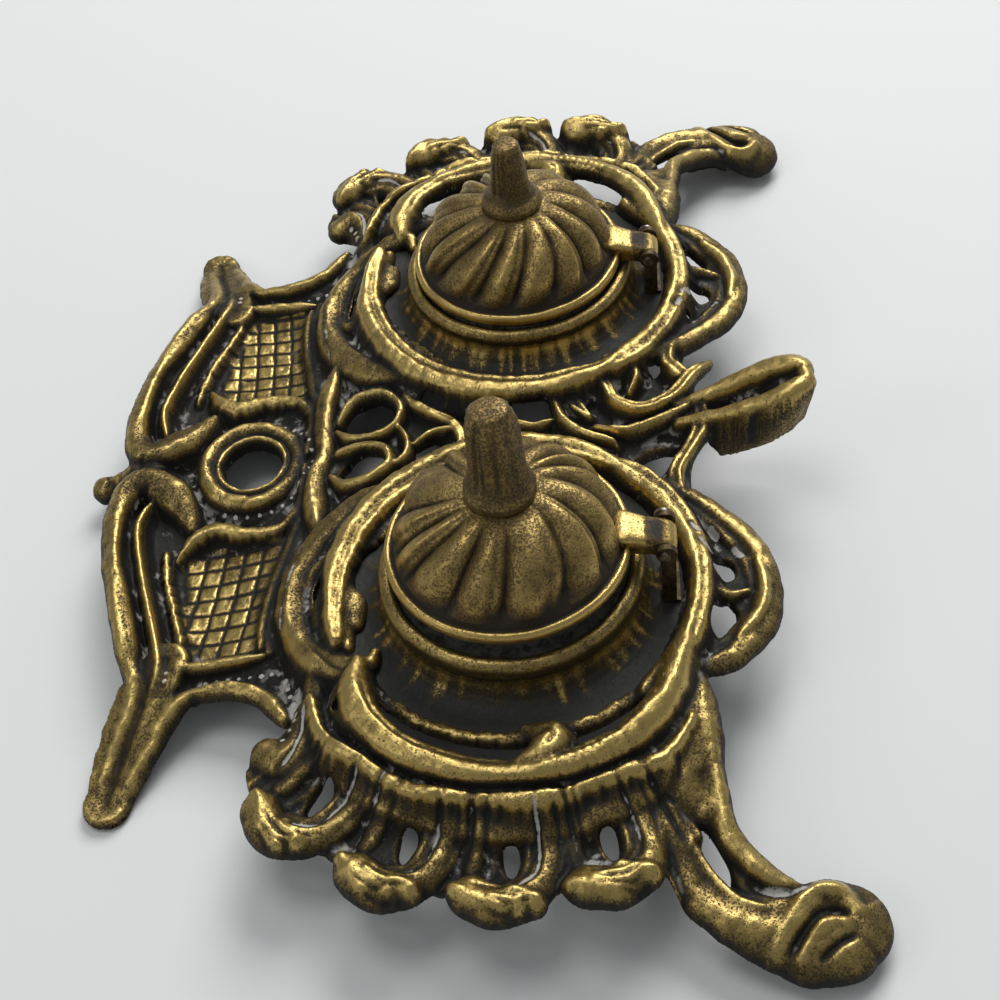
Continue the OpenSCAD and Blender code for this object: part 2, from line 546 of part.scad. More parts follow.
stand();
liner(-well_x, 0);  // left_liner
liner(well_x, right_lid_rise);  // right_liner
lid(-well_x, 0);  // left_lid
lid(well_x, right_lid_rise);  // right_lid
finial(-well_x, 0, left_finial_len, 2.9);  // left_finial
finial(well_x, right_lid_rise, right_finial_len, 4.3);  // right_finial
finial_nut(-well_x, 0);  // left_finial_nut
finial_nut(well_x, right_lid_rise);  // right_finial_nut
hinge_bracket(-well_x, 0);  // left_hinge_bracket
hinge_bracket(well_x, right_lid_rise);  // right_hinge_bracket
hinge_pin(-well_x, 0);  // left_hinge_pin
hinge_pin(well_x, right_lid_rise);  // right_hinge_pin
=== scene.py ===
import bpy
import bmesh
import math
import numpy as np
from mathutils import Vector, Matrix


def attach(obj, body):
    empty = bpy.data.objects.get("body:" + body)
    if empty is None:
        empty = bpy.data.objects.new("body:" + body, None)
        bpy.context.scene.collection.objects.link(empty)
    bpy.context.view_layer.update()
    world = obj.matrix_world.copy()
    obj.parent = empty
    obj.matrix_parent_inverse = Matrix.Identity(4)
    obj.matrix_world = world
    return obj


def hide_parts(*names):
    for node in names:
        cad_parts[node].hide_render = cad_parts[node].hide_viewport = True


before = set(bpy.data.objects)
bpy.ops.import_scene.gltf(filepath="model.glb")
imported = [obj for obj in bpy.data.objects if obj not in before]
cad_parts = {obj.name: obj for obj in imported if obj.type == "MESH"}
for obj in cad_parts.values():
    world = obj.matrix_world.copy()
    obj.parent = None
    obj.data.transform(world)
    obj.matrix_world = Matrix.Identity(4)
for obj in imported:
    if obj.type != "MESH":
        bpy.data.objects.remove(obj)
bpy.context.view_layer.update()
scene = bpy.context.scene

# Everything below is in millimetres with the two wells on y = 0, until it is put into the frame
wells = {"x": 42.0, "y": 15.1, "ring": 33.6, "floor": 18.2, "lip": 26.3, "bore": 31.2}


def toFrame(x, y, z):
    return Vector((x, y + wells["y"], z)) * 0.001


def polar(angle, radius, z=0, wide=0, high=0):
    a = math.radians(angle)
    return (wells["x"] + radius * math.cos(a), radius * math.sin(a), z, wide, high)


def smoothCurve(points, steps):
    pts = [np.array(p, float) for p in points]
    out = []
    for i in range(len(pts) - 1):
        a, b, c, d = pts[max(i - 1, 0)], pts[i], pts[i + 1], pts[min(i + 2, len(pts) - 1)]
        for k in range(steps):
            t = k / steps
            out.append(0.5 * (2 * b + (c - a) * t + (2 * a - 5 * b + 4 * c - d) * t * t
                              + (3 * b - a - 3 * c + d) * t ** 3))
    out.append(pts[-1])
    return out


def addObject(name, data):
    made = bpy.data.objects.new(name, data)
    scene.collection.objects.link(made)
    return made


def meshFrom(bm, name):
    mesh = bpy.data.meshes.new(name)
    bm.to_mesh(mesh)
    bm.free()
    return mesh


# Where the photograph was taken from: turned round the object, risen above it, rolled in the hand
camera = {"at": (224.586, 24.049, 247.586), "turn": 97.58, "rise": 47.96, "roll": -8.31, "lens": 57.6}


def placeCamera():
    turn, rise, roll = (math.radians(camera[k]) for k in ("turn", "rise", "roll"))
    back = Vector((math.sin(turn) * math.cos(rise), -math.cos(turn) * math.cos(rise), math.sin(rise)))
    right = (-back).cross(Vector((0, 0, 1))).normalized()
    up = right.cross(-back)
    across = right * math.cos(roll) + up * math.sin(roll)
    upward = -right * math.sin(roll) + up * math.cos(roll)
    data = bpy.data.cameras.new("viewCamera")
    data.lens, data.sensor_width, data.sensor_fit = camera["lens"], 36, "HORIZONTAL"
    data.clip_start, data.clip_end = 0.01, 20
    view = addObject("viewCamera", data)
    turned = Matrix((across, upward, back)).transposed().to_4x4()
    view.matrix_world = Matrix.Translation(toFrame(*camera["at"])) @ turned
    scene.camera = view


placeCamera()
print("camera placed")


def finishPiece(bm, name, body="stand_body"):
    bmesh.ops.remove_doubles(bm, verts=bm.verts, dist=1e-7)
    bmesh.ops.recalc_face_normals(bm, faces=bm.faces)
    for face in bm.faces:
        face.smooth = True
    piece = addObject(name, meshFrom(bm, name))
    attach(piece, body)
    return piece


def dress(piece, mat):
    piece.data.materials.clear()
    piece.data.materials.append(mat)


def readMesh(mesh):
    co, no = np.zeros((2, len(mesh.vertices) * 3))
    mesh.vertices.foreach_get("co", co)
    mesh.vertices.foreach_get("normal", no)
    ed = np.zeros(len(mesh.edges) * 2, int)
    mesh.edges.foreach_get("vertices", ed)
    return co.reshape(-1, 3), no.reshape(-1, 3), ed.reshape(-1, 2)


# How far each spot stands out of its surroundings, near by (ridge) and over a wider reach (dip)
def relief(piece, near, far):
    co, no, ed = readMesh(piece.data)
    n = len(co)
    count = np.maximum(np.bincount(ed.ravel(), minlength=n), 1).astype(float)

    def relax(p, rounds):
        for r in range(rounds):
            total = np.zeros_like(p)
            for c in range(p.shape[1]):
                total[:, c] = (np.bincount(ed[:, 0], p[ed[:, 1], c], n)
                               + np.bincount(ed[:, 1], p[ed[:, 0], c], n))
            p = 0.4 * p + 0.6 * total / count[:, None]
        return p

    fine = relax(co, near)
    broad = relax(fine, far - near)
    ridge = relax(((co - fine) * no).sum(1)[:, None] * 1000, 2)[:, 0]
    dip = relax(((broad - co) * no).sum(1)[:, None] * 1000, 2)[:, 0]
    reportRelief(piece.name, ridge, dip)
    return co * 1000 - np.array((0, wells["y"], 0)), ridge, dip


def reportRelief(name, ridge, dip):
    ridge, dip = (np.percentile(field, [2, 50, 98]).round(3) for field in (ridge, dip))
    print(name, "ridge", ridge, "dip", dip)


def paintOn(piece, **layers):
    for name, values in layers.items():
        layer = piece.data.attributes.new(name, "FLOAT", "POINT")
        layer.data.foreach_set("value", np.asarray(values, np.float32))


studio = {
    "floor": (0.74, 0.745, 0.735),
    "room": (0.92, 0.96, 1.0),
    "ambient": 0.30,
    "lamps": {
        "window": {"at": (-0.85, 0.3, 0.95), "size": 0.75, "power": 12.6},
        "overhead": {"at": (-0.1, -0.25, 1.25), "size": 0.55, "power": 3.2},
        "side": {"at": (0.5, -0.9, 0.7), "size": 0.45, "power": 1.3},
    },
}


def softLamp(name, look):
    data = bpy.data.lights.new(name, "AREA")
    data.shape, data.size, data.energy = "SQUARE", look["size"], look["power"]
    lamp = addObject(name, data)
    lamp.location = look["at"]
    lamp.rotation_euler = (-Vector(look["at"])).to_track_quat("-Z", "Y").to_euler()


def buildStudio():
    bm = bmesh.new()
    bmesh.ops.create_grid(bm, x_segments=2, y_segments=2, size=4)
    floor = addObject("paleFloor", meshFrom(bm, "paleFloor"))
    paint = bpy.data.materials.new("paleCard")
    paint.use_nodes = True
    shader = paint.node_tree.nodes["Principled BSDF"]
    shader.inputs["Base Color"].default_value = (*studio["floor"], 1)
    shader.inputs["Roughness"].default_value = 0.6
    shader.inputs["Specular IOR Level"].default_value = 0.2
    dress(floor, paint)
    world = bpy.data.worlds.new("softRoom")
    world.use_nodes = True
    scene.world = world
    back = world.node_tree.nodes["Background"]
    back.inputs["Color"].default_value = (*studio["room"], 1)
    back.inputs["Strength"].default_value = studio["ambient"]
    for name, look in studio["lamps"].items():
        softLamp(name + "Light", look)
    scene.view_settings.view_transform = "Standard"


buildStudio()
print("studio built")


def addNode(tree, kind, **inputs):
    made = tree.nodes.new(kind)
    for key, value in inputs.items():
        made.inputs[key].default_value = value
    return made


def noiseNode(tree, coords, scale, detail, rough, warp=0.0):
    made = addNode(tree, "ShaderNodeTexNoise", Scale=scale, Detail=detail, Roughness=rough, Distortion=warp)
    tree.links.new(coords, made.inputs["Vector"])
    return made.outputs["Fac"]


def feed(tree, socket, value):
    if isinstance(value, tuple):
        socket.default_value = (*value, 1)
    elif isinstance(value, (int, float)):
        socket.default_value = value
    else:
        tree.links.new(value, socket)


def sums(tree, operation, a, b):
    made = tree.nodes.new("ShaderNodeMath")
    made.operation = operation
    for slot, value in enumerate((a, b)):
        feed(tree, made.inputs[slot], value)
    return made.outputs[0]


def between(tree, value, low, high):
    made = tree.nodes.new("ShaderNodeMapRange")
    made.interpolation_type = "SMOOTHSTEP"
    made.inputs["From Min"].default_value, made.inputs["From Max"].default_value = low, high
    tree.links.new(value, made.inputs["Value"])
    return made.outputs["Result"]


def blendColours(tree, amount, a, b):
    made = tree.nodes.new("ShaderNodeMix")
    made.data_type = "RGBA"
    for index, value in ((0, amount), (6, a), (7, b)):
        feed(tree, made.inputs[index], value)
    return made.outputs[2]


def painted(tree, name):
    made = tree.nodes.new("ShaderNodeAttribute")
    made.attribute_name = name
    return made.outputs["Fac"]


def newMaterial(name):
    mat = bpy.data.materials.new(name)
    mat.use_nodes = True
    tree = mat.node_tree
    return mat, tree, tree.nodes["Principled BSDF"], tree.nodes.new("ShaderNodeTexCoord").outputs["Object"]


def bumpFrom(tree, shader, height, strength, distance):
    bump = addNode(tree, "ShaderNodeBump", Strength=strength, Distance=distance)
    tree.links.new(height, bump.inputs["Height"])
    tree.links.new(bump.outputs["Normal"], shader.inputs["Normal"])


# Scale, detail, roughness and warp of the four noises that break the patina up
noises = {
    "cloud": (75, 4, 0.55, 0.4),
    "patch": (300, 5, 0.62, 0.3),
    "grain": (1100, 4, 0.7),
    "speck": (2300, 2, 0.5),
}


def patina(name, look):
    mat, tree, shader, coords = newMaterial(name)
    shader.inputs["Specular IOR Level"].default_value = 0.22

    def plus(a, b):
        return sums(tree, "ADD", a, b)

    def minus(a, b):
        return sums(tree, "SUBTRACT", a, b)

    def times(a, b):
        return sums(tree, "MULTIPLY", a, b)

    cloud, patch, grain, speck = (noiseNode(tree, coords, *kind) for kind in noises.values())
    hollow = times(painted(tree, "dip"), look["dip"])
    # how far a spot is rubbed bright: edges first, hollows last, broken up by patches and grain
    worn = minus(times(painted(tree, "ridge"), look["ridge"]), hollow)
    worn = plus(plus(worn, look["bias"]), painted(tree, "paint"))
    for source, amount in ((cloud, look["cloud"]), (patch, look["patch"]), (grain, look["grain"])):
        worn = plus(worn, times(minus(source, 0.5), amount))
    colour = blendColours(tree, between(tree, worn, -0.9, -0.25), look["black"], look["brown"])
    colour = blendColours(tree, between(tree, worn, -0.4, 0.35), colour, look["bronze"])
    colour = blendColours(tree, between(tree, worn, 0.15, 1.35), colour, look["gold"])
    # black pits thickest where the rubbing fades out
    edge = times(between(tree, worn, -0.6, 0.05), between(tree, worn, 1.0, 0.2))
    pits = plus(times(edge, 0.13), times(minus(cloud, 0.5), 0.22))
    pits = times(between(tree, plus(speck, pits), 0.6, 0.68), look["pits"])
    colour = blendColours(tree, pits, colour, look["black"])
    # pale residue left in the channels
    dust = times(between(tree, hollow, look["dustFrom"], look["dustFrom"] + 0.7),
                 between(tree, plus(patch, times(cloud, 0.4)), 0.72, 0.86))
    white = between(tree, plus(painted(tree, "white"), times(minus(patch, 0.5), 1.6)), 0.42, 0.7)
    dust = sums(tree, "MAXIMUM", times(dust, look["dust"]), times(white, 0.85))
    tree.links.new(blendColours(tree, dust, colour, look["residue"]), shader.inputs["Base Color"])
    metal = times(between(tree, worn, -0.75, 0.0), minus(1, dust))
    metal = times(metal, minus(1, times(pits, 0.7)))
    tree.links.new(metal, shader.inputs["Metallic"])
    rough = tree.nodes.new("ShaderNodeMapRange")
    rough.inputs["From Min"].default_value, rough.inputs["From Max"].default_value = -0.6, 0.8
    rough.inputs["To Min"].default_value, rough.inputs["To Max"].default_value = look["dull"], look["bright"]
    tree.links.new(worn, rough.inputs["Value"])
    rough = plus(plus(rough.outputs[0], times(minus(grain, 0.5), 0.3)), times(pits, 0.2))
    tree.links.new(rough, shader.inputs["Roughness"])
    uneven = minus(plus(times(patch, 0.9), times(grain, 0.35)), times(pits, 0.25))
    bumpFrom(tree, shader, uneven, look["bump"], 0.0004)
    return mat


brass = {
    "ridge": 2.2, "dip": 0.55, "bias": 0.0, "cloud": 0.9, "patch": 1.1, "grain": 0.8,
    "black": (0.009, 0.0085, 0.0065), "brown": (0.060, 0.044, 0.020), "bronze": (0.20, 0.142, 0.052),
    "gold": (0.50, 0.365, 0.125), "residue": (0.50, 0.48, 0.44), "dust": 0.75, "dustFrom": 0.35,
    "pits": 0.7, "dull": 0.6, "bright": 0.34, "bump": 0.6,
}
# What each finish has of its own; the rest is the casting's
ownLooks = {
    "castBrass": {},
    "saucerBrass": {
        "bias": -0.75, "ridge": 2.5, "patch": 1.3, "dust": 0.25,
        "black": (0.024, 0.024, 0.021), "brown": (0.050, 0.040, 0.024),
    },
    "lidBrass": {
        "bias": 0.02, "ridge": 5.0, "dip": 0.9, "patch": 1.6, "cloud": 1.3, "pits": 0.6, "dull": 0.58,
        "dust": 0.8, "black": (0.024, 0.018, 0.010), "brown": (0.105, 0.072, 0.030),
        "bronze": (0.26, 0.182, 0.066), "gold": (0.54, 0.385, 0.13), "residue": (0.40, 0.37, 0.33),
    },
    "finialBrass": {
        "bias": -0.1, "ridge": 6.0, "patch": 1.4, "pits": 0.6, "dull": 0.58, "bright": 0.36, "dust": 0.35,
        "black": (0.02, 0.015, 0.009), "brown": (0.10, 0.070, 0.032), "bronze": (0.24, 0.165, 0.065),
        "gold": (0.46, 0.33, 0.12),
    },
}
finishes = {name: patina(name, {**brass, **own}) for name, own in ownLooks.items()}


def plainFinish(name, colour, metal, rough):
    mat, tree, shader, coords = newMaterial(name)
    cloud = noiseNode(tree, coords, 700, 5, 0.65)
    dark = tuple(c * 0.3 for c in colour)
    colour = blendColours(tree, between(tree, cloud, 0.35, 0.62), dark, colour)
    tree.links.new(colour, shader.inputs["Base Color"])
    shader.inputs["Metallic"].default_value = metal
    tree.links.new(sums(tree, "ADD", rough, sums(tree, "MULTIPLY", cloud, 0.08)), shader.inputs["Roughness"])
    bumpFrom(tree, shader, cloud, 0.25, 0.0002)
    return mat


print("finishes made")

# The casting left a two-part mould, so it is drawn as one field of heights over a fine grid:
# each moulding, plate and groove works on the top, the underside and the outline
cast = {
    "cell": 0.3,
    "reach": 115.2,
    "front": -93.0,
    "back": 63.0,
    "plate": 3.0,
    "rough": 0.09,
    "cuts": (-42, 0, 42),
    "frontCut": -50.1,
}
across = np.arange(-int(cast["reach"] / cast["cell"]), int(cast["reach"] / cast["cell"]) + 1) * cast["cell"]
deep = np.arange(int((cast["back"] - cast["front"]) / cast["cell"]) + 1) * cast["cell"] + cast["front"]
cellX, cellY = np.meshgrid(across, deep)


def newLayer():
    start = {"top": -40.0, "low": 60.0, "in": -30.0, "paint": 0.0, "white": 0.0}
    return {name: np.full(cellX.shape, value) for name, value in start.items()}


def softMax(a, b, k):
    return np.maximum(a, b) + np.maximum(k - np.abs(a - b), 0) ** 2 / (4 * k)


def softMin(a, b, k):
    return -softMax(-a, -b, k)


# Melts one form into what is drawn already
def mergeInto(layer, window, top, low, inside, blend, outlineBlend):
    layer["top"][window] = softMax(layer["top"][window], top, blend)
    layer["low"][window] = softMin(layer["low"][window], low, 0.4)
    layer["in"][window] = softMax(layer["in"][window], inside, outlineBlend)


def rangeOf(low, high, line):
    return slice(max(int((low - line[0]) / cast["cell"]), 0),
        min(int((high - line[0]) / cast["cell"]) + 2, len(line)))


def windowRound(xs, ys, reach):
    return rangeOf(min(ys) - reach, max(ys) + reach, deep), rangeOf(min(xs) - reach, max(xs) + reach, across)


# Distance of the cells to a curve, the place along it, and the side they lie on
def nearCurve(line, reach):
    window = windowRound(line[:, 0], line[:, 1], reach)
    x, y = cellX[window], cellY[window]
    gap, along, side = np.full(x.shape, 1e3), np.zeros(x.shape), np.ones(x.shape)
    for k in range(len(line) - 1):
        a, b = line[k, :2], line[k + 1, :2]
        d = b - a
        spot = tuple(slice(part.start - whole.start, part.stop - whole.start)
                     for part, whole in zip(windowRound((a[0], b[0]), (a[1], b[1]), reach), window))
        px, py = x[spot] - a[0], y[spot] - a[1]
        t = np.clip((px * d[0] + py * d[1]) / max(float(d @ d), 1e-9), 0, 1)
        g = np.hypot(px - t * d[0], py - t * d[1])
        better = g < gap[spot]
        gap[spot][better] = g[better]
        along[spot][better] = (k + t)[better]
        side[spot][better] = np.sign(d[0] * py - d[1] * px)[better]
    return window, gap, along, side


def lengthAlong(line):
    return np.concatenate([[0], np.cumsum(np.hypot(*np.diff(line[:, :2], axis=0).T))])


def ragged(run, seed, size):
    rng = np.random.default_rng(seed)
    return sum(rng.uniform(0.4, 1) * np.sin(run / size * rate + rng.uniform(0, 6.28))
               for rate in (0.7, 1.3, 2.1, 3.4)) / 2.2


def offCrest(q, crest):
    return np.where(q > crest, (q - crest) / (1 - crest), (crest - q) / (1 + crest))


# One moulding along a curve: x, y, height of its middle, half width, half height
def moulding(layer, points, form="round", groove=0.0, cut=0.4, steps=6, blend=0.5, wave=0.0, hatch=None,
        seed=1, glow=0.0, taper=True):
    line = np.array(smoothCurve(points, steps))
    window, gap, along, side = nearCurve(line, line[:, 3].max() + 2.4)
    n = np.arange(len(line))
    run = np.interp(along, n, lengthAlong(line))
    z, w, h = (np.interp(along, n, line[:, c]) for c in (2, 3, 4))
    # free ends taper and sink
    if taper and math.dist(line[0, :2], line[-1, :2]) > 0.5:
        ends = np.clip(np.minimum(run, run.max() - run) / (2.2 * w.max() + 0.1), 0, 1)
        w, h = w * (0.62 + 0.38 * ends ** 0.7), h * (0.8 + 0.2 * ends)
    w = np.maximum(w, 0.25) * (1 + 0.05 * ragged(run, seed, 2.2))
    if wave:
        w = w + wave * np.where(side > 0, ragged(run, seed, 0.9), ragged(run, seed + 1, 0.9))
    u = gap / w
    q = side * u
    arch = np.sqrt(np.clip(1 - u * u, 0, 1))
    if form == "round":  # its crest wanders from side to side
        v = offCrest(q, 0.3 * np.sin(run / 7 + seed))
        f = np.sqrt(np.clip(1 - v * v, 0, 1)) * 0.86 + 0.14 * np.clip(1 - v, 0, 1)
    elif form == "double":  # two ridges with a groove between them
        f = arch ** 0.8 * (1 - cut * np.exp(-((q - groove) / (0.55 / w + 0.1)) ** 2))
    elif form == "strap":  # flat ribbon with raised edges
        f = arch ** 0.45 * (0.62 + 0.38 * np.abs(q) ** 2.4)
    elif form == "ridge":  # sharp crest that falls to one side
        f = np.clip(1 - offCrest(q, groove) ** 1.35, 0, 1) ** 0.8
    else:  # leaf: a vein in the middle and rolled edges
        f = arch ** 0.5 * (0.6 + 0.3 * np.abs(q) ** 1.6) - cut * np.exp(-(q / 0.16) ** 2) * arch
    top = z + h * f - 1.7 * np.maximum(gap - w, 0)
    if hatch:  # chisel strokes across it, 1.5 mm apart
        notch = np.clip(np.cos(2 * np.pi * run / 1.5), 0, 1) ** 4
        top -= 0.32 * notch * (run > hatch[0]) * (run < hatch[1])
    low = z - h * 0.85 * arch + 4 * np.maximum(gap - w, 0)
    mergeInto(layer, window, top, low, w - gap, blend, 0.9)
    if glow:
        layer["paint"][window] += glow * np.clip(1 - u ** 2, 0, 1)


# Narrow cut that follows a curve
def carve(layer, points, width=0.5, depth=0.5, paint=-0.25, white=0.0):
    line = np.array(smoothCurve([p[:2] for p in points], 6))
    window, gap, along, side = nearCurve(line, width * 3 + 1)
    ends = np.clip(np.minimum(along, len(line) - 1 - along) / 3, 0, 1)
    shape = np.exp(-(gap / width) ** 2) * ends
    layer["top"][window] -= depth * shape
    layer["paint"][window] += paint * shape
    if white:
        layer["white"][window] = np.maximum(layer["white"][window], white * shape)


# Row of small pale beads along a curve
def pearls(layer, points, step=2.3, size=0.5, steps=12):
    line = np.array(smoothCurve([p[:2] for p in points], steps))
    length = lengthAlong(line)
    for s in np.arange(step / 2, length[-1], step):
        x, y = np.interp(s, length, line[:, 0]), np.interp(s, length, line[:, 1])
        spot = windowRound((x,), (y,), 1.5)
        bead = np.exp(-(np.hypot(cellX[spot] - x, cellY[spot] - y) / size) ** 4)
        layer["top"][spot] += 0.45 * bead
        layer["white"][spot] = np.maximum(layer["white"][spot], 0.9 * bead)


def insideLoop(loop, window):
    x, y = cellX[window], cellY[window]
    gap, odd = np.full(x.shape, 1e3), np.zeros(x.shape, bool)
    for a, b in zip(loop, loop[1:] + loop[:1]):
        dx, dy = b[0] - a[0], b[1] - a[1]
        t = np.clip(((x - a[0]) * dx + (y - a[1]) * dy) / max(dx * dx + dy * dy, 1e-9), 0, 1)
        gap = np.minimum(gap, np.hypot(x - a[0] - t * dx, y - a[1] - t * dy))
        if dy:
            odd ^= ((a[1] > y) != (b[1] > y)) & (x < dx * (y - a[1]) / dy + a[0])
    return np.where(odd, gap, -gap)


# Flat or bowed plate inside an outline, with soft edges and holes through it
def plate(layer, loop, top, holes=(), thick=cast["plate"], blend=0.9, paint=0.0):
    window = windowRound([p[0] for p in loop], [p[1] for p in loop], 2)
    inside = insideLoop(loop, window)
    for hole in holes:
        inside = np.minimum(inside, -insideLoop(hole, window))
    edge = np.clip(inside / 0.9, 0, 1)
    z = top(cellX[window], cellY[window]) if callable(top) else top
    rounded = z - 0.9 * (1 - np.sqrt(1 - (1 - edge) ** 2)) - 5 * np.maximum(-inside, 0)
    mergeInto(layer, window, rounded, z - thick + 6 * np.maximum(-inside, 0), inside, blend, 0.6)
    layer["paint"][window] += paint * (inside > 0)


def oval(x, y, wide, high, turn=0, n=26):
    a = math.radians(turn)
    out = []
    for k in range(n):
        t = 2 * math.pi * k / n
        u, v = wide * math.cos(t), high * math.sin(t)
        out.append((x + u * math.cos(a) - v * math.sin(a), y + u * math.sin(a) + v * math.cos(a)))
    return out


def blurred(field, size):
    fy = np.fft.fftfreq(field.shape[0], cast["cell"])[:, None]
    fx = np.fft.rfftfreq(field.shape[1], cast["cell"])[None, :]
    spread = np.exp(-2 * (math.pi * size) ** 2 * (fx ** 2 + fy ** 2))
    return np.fft.irfft2(np.fft.rfft2(field) * spread, s=field.shape)


def softNoise(seed, size):
    field = blurred(np.random.default_rng(seed).standard_normal(cellX.shape), size)
    return field / field.std()


def wellRadius(x, y):
    return np.hypot(np.abs(x) - wells["x"], y)


# Rows of angle and distance from the well's axis, then height, half width and half height
def roundWell(*rows):
    return [polar(*row) for row in rows]


def webTop(x, y):
    return np.interp(y, [-52, -45, -38, -30, -18, 40], [8.6, 9.8, 12.6, 14.6, 15.6, 16])


def fanTop(x, y):
    r = wellRadius(x, y)
    a = np.arctan2(y, np.abs(x) - wells["x"])
    waves = ((61, 0.2, 1), (87, -0.3, 4), (128, 0.25, 2), (171, 0.1, 5))
    streaks = sum(np.sin(k * a + m * r + p) for k, m, p in waves) / 4
    return 17.2 - 4 * np.sin(np.clip((r - 42) / 14, 0, 1) * math.pi / 2) + 0.5 * streaks


def legTop(x, y):
    return np.interp(wellRadius(x, y), [40, 46, 54, 63, 72, 80], [17, 15.4, 13.2, 10.6, 8.4, 6.6])


# The latticed front panel: u runs out from the middle, v from the wells to the front
panel = {"wide": 57, "deep": 38, "back": -44.6, "height": 9.8}


def panelSpot(u, v, z=0, wide=0, high=0):
    return (u * panel["wide"], panel["back"] - v * panel["deep"], z, wide, high)


def onPanel(*rows):
    return [panelSpot(*row) for row in rows]


# Web between the wells: middle, half sizes and turn of each opening
webSlots = [
    ((6.8, -31.6), (4.6, 5.4), 8), ((-7, -31.2), (4.9, 5.6), -8), ((-9, -17.4), (4.6, 2.9), -50),
    ((5.2, -17), (5.2, 3.6), 40), ((-5, 1.6), (5.4, 4), 70), ((8.2, 0.6), (4.2, 2.6), 80),
    ((-17.8, 27), (5.4, 3), 50), ((10.2, 27.2), (6, 3.4), -60),
]


def webPlate(layer):
    side = [(13, -47.2), (28, -47.6), (42, -48), (55, -46.6), (64, -43), (68, -34)]
    side += [polar(a, wells["ring"] - 1) for a in range(-52, -207, -8)]
    side += [(24.6, 31), (20, 33.6), (11, 33.6)]
    loop = [(0, -48.6)] + side + [(0, 38)] + [(-p[0], p[1]) for p in reversed(side)]
    holes = [oval(s * 40.5, -38.6, 9.6, 2, -3 * s) for s in (-1, 1)]
    holes += [oval(*at, *size, turn) for at, size, turn in webSlots]
    plate(layer, loop, webTop, holes, paint=-0.35)


# Shell fans at the ends: angles of the slots, their distance from the well and half sizes
fan = {"slots": [-39.8, -19.4, 0, 18], "out": 50.6, "long": 4.9, "wide": 1.6}


def fanPlate(layer):
    rim = [polar(a, 40.5) for a in range(-60, 37, 4)]
    far = [polar(a, 59.4 - 2.4 * abs(math.cos(math.radians((a + 1) * 9)))) for a in range(33, -56, -2)]
    holes = [oval(*polar(a, fan["out"])[:2], fan["long"], fan["wide"], a) for a in fan["slots"]]
    plate(layer, rim + far, fanTop, holes, paint=-0.1)


def petalHeight(a):
    return 13.2 + 2.6 * min(max((a + 30) / 40, 0), 1)


def fanLobe(layer, a, seed):
    rng = np.random.default_rng(seed)
    z = petalHeight(a)
    # dark fold in front of the slot, broad bright fold behind it that swells into the petal
    moulding(layer, roundWell((a - 5.6, 41.5, 16.2, 1.8, 1.3), (a - 6.6, 49.5, 14, 2, 1.6),
        (a - 6.8, 55.5, 13, 2.4, 1.9)), blend=1.6, seed=seed)
    moulding(layer, roundWell((a + 7.6, 41.5, 16.4, 2.3, 1.6), (a + 7.6, 49, 14.4, 2.7, 2.1),
        (a + 6.4, 55, 13.4, 2.9, 2.5), (a + 3.4, 59.4, 13.4 * 0.5 + z * 0.5, 3.1, 3),
        (a - 1.4, 61.8, z, 3.7, 3.6), (a - 5.8, 60.4, z, 3.7, 3.9)), blend=1.2, seed=seed + 2, glow=0.1,
        taper=False)
    # thin lip round the near side of the slot
    moulding(layer, roundWell((a + 2.8, 44.5, 16, 0.6, 1.2), (a + 3.4, 51, 14, 0.8, 1.4),
        (a + 2, 56.2, 13.2, 1, 1.6), (a - 1.8, 57.8, 13.2, 1, 1.6)), blend=0.9, seed=seed + 1, glow=0.15)
    # rough rolled petal
    for k in range(4):
        t = a - 6.6 + 2.9 * k + rng.uniform(-0.6, 0.6)
        r = 61.8 + rng.uniform(-0.7, 0.9) - 0.3 * abs(k - 1.5) ** 2
        moulding(layer, roundWell((t - 1.6, r - 1.2, z + 0.4, 2, 3.2 + rng.uniform(0, 0.4)),
            (t + 1.8, r + rng.uniform(-0.4, 0.8), z + 0.2, 2.2, 3.3 + rng.uniform(0, 0.4))), blend=1.2,
            seed=seed + 3 + k, wave=0.2, taper=False)
    for k in range(4):
        r = 59.2 + 1.5 * k
        b = a + rng.uniform(-2, 2)
        carve(layer, roundWell((b + 4.2 - 0.7 * k, r - 0.6), (b, r + 0.7), (b - 4.6 + 0.5 * k, r - 0.2)),
            0.34, 0.34 + rng.uniform(0, 0.2), paint=-0.5)
    carve(layer, roundWell((a + 5, 43.5), (a + 5.4, 50), (a + 4.2, 56.4), (a - 0.6, 59.6)), 0.5, 0.8,
        white=0.75 if seed % 2 else 0.5, paint=-0.4)
    carve(layer, roundWell((a + 11.4, 42.5), (a + 11.8, 50), (a + 11.6, 58)), 0.6, 1, white=0.4, paint=-0.5)
    carve(layer, roundWell((a + 9, 44), (a + 9.2, 51), (a + 7.6, 57)), 0.3, 0.4, paint=-0.3)
    carve(layer, roundWell((a - 4.2, 43), (a - 4.6, 49), (a - 4.4, 55)), 0.4, 0.5, paint=-0.4)


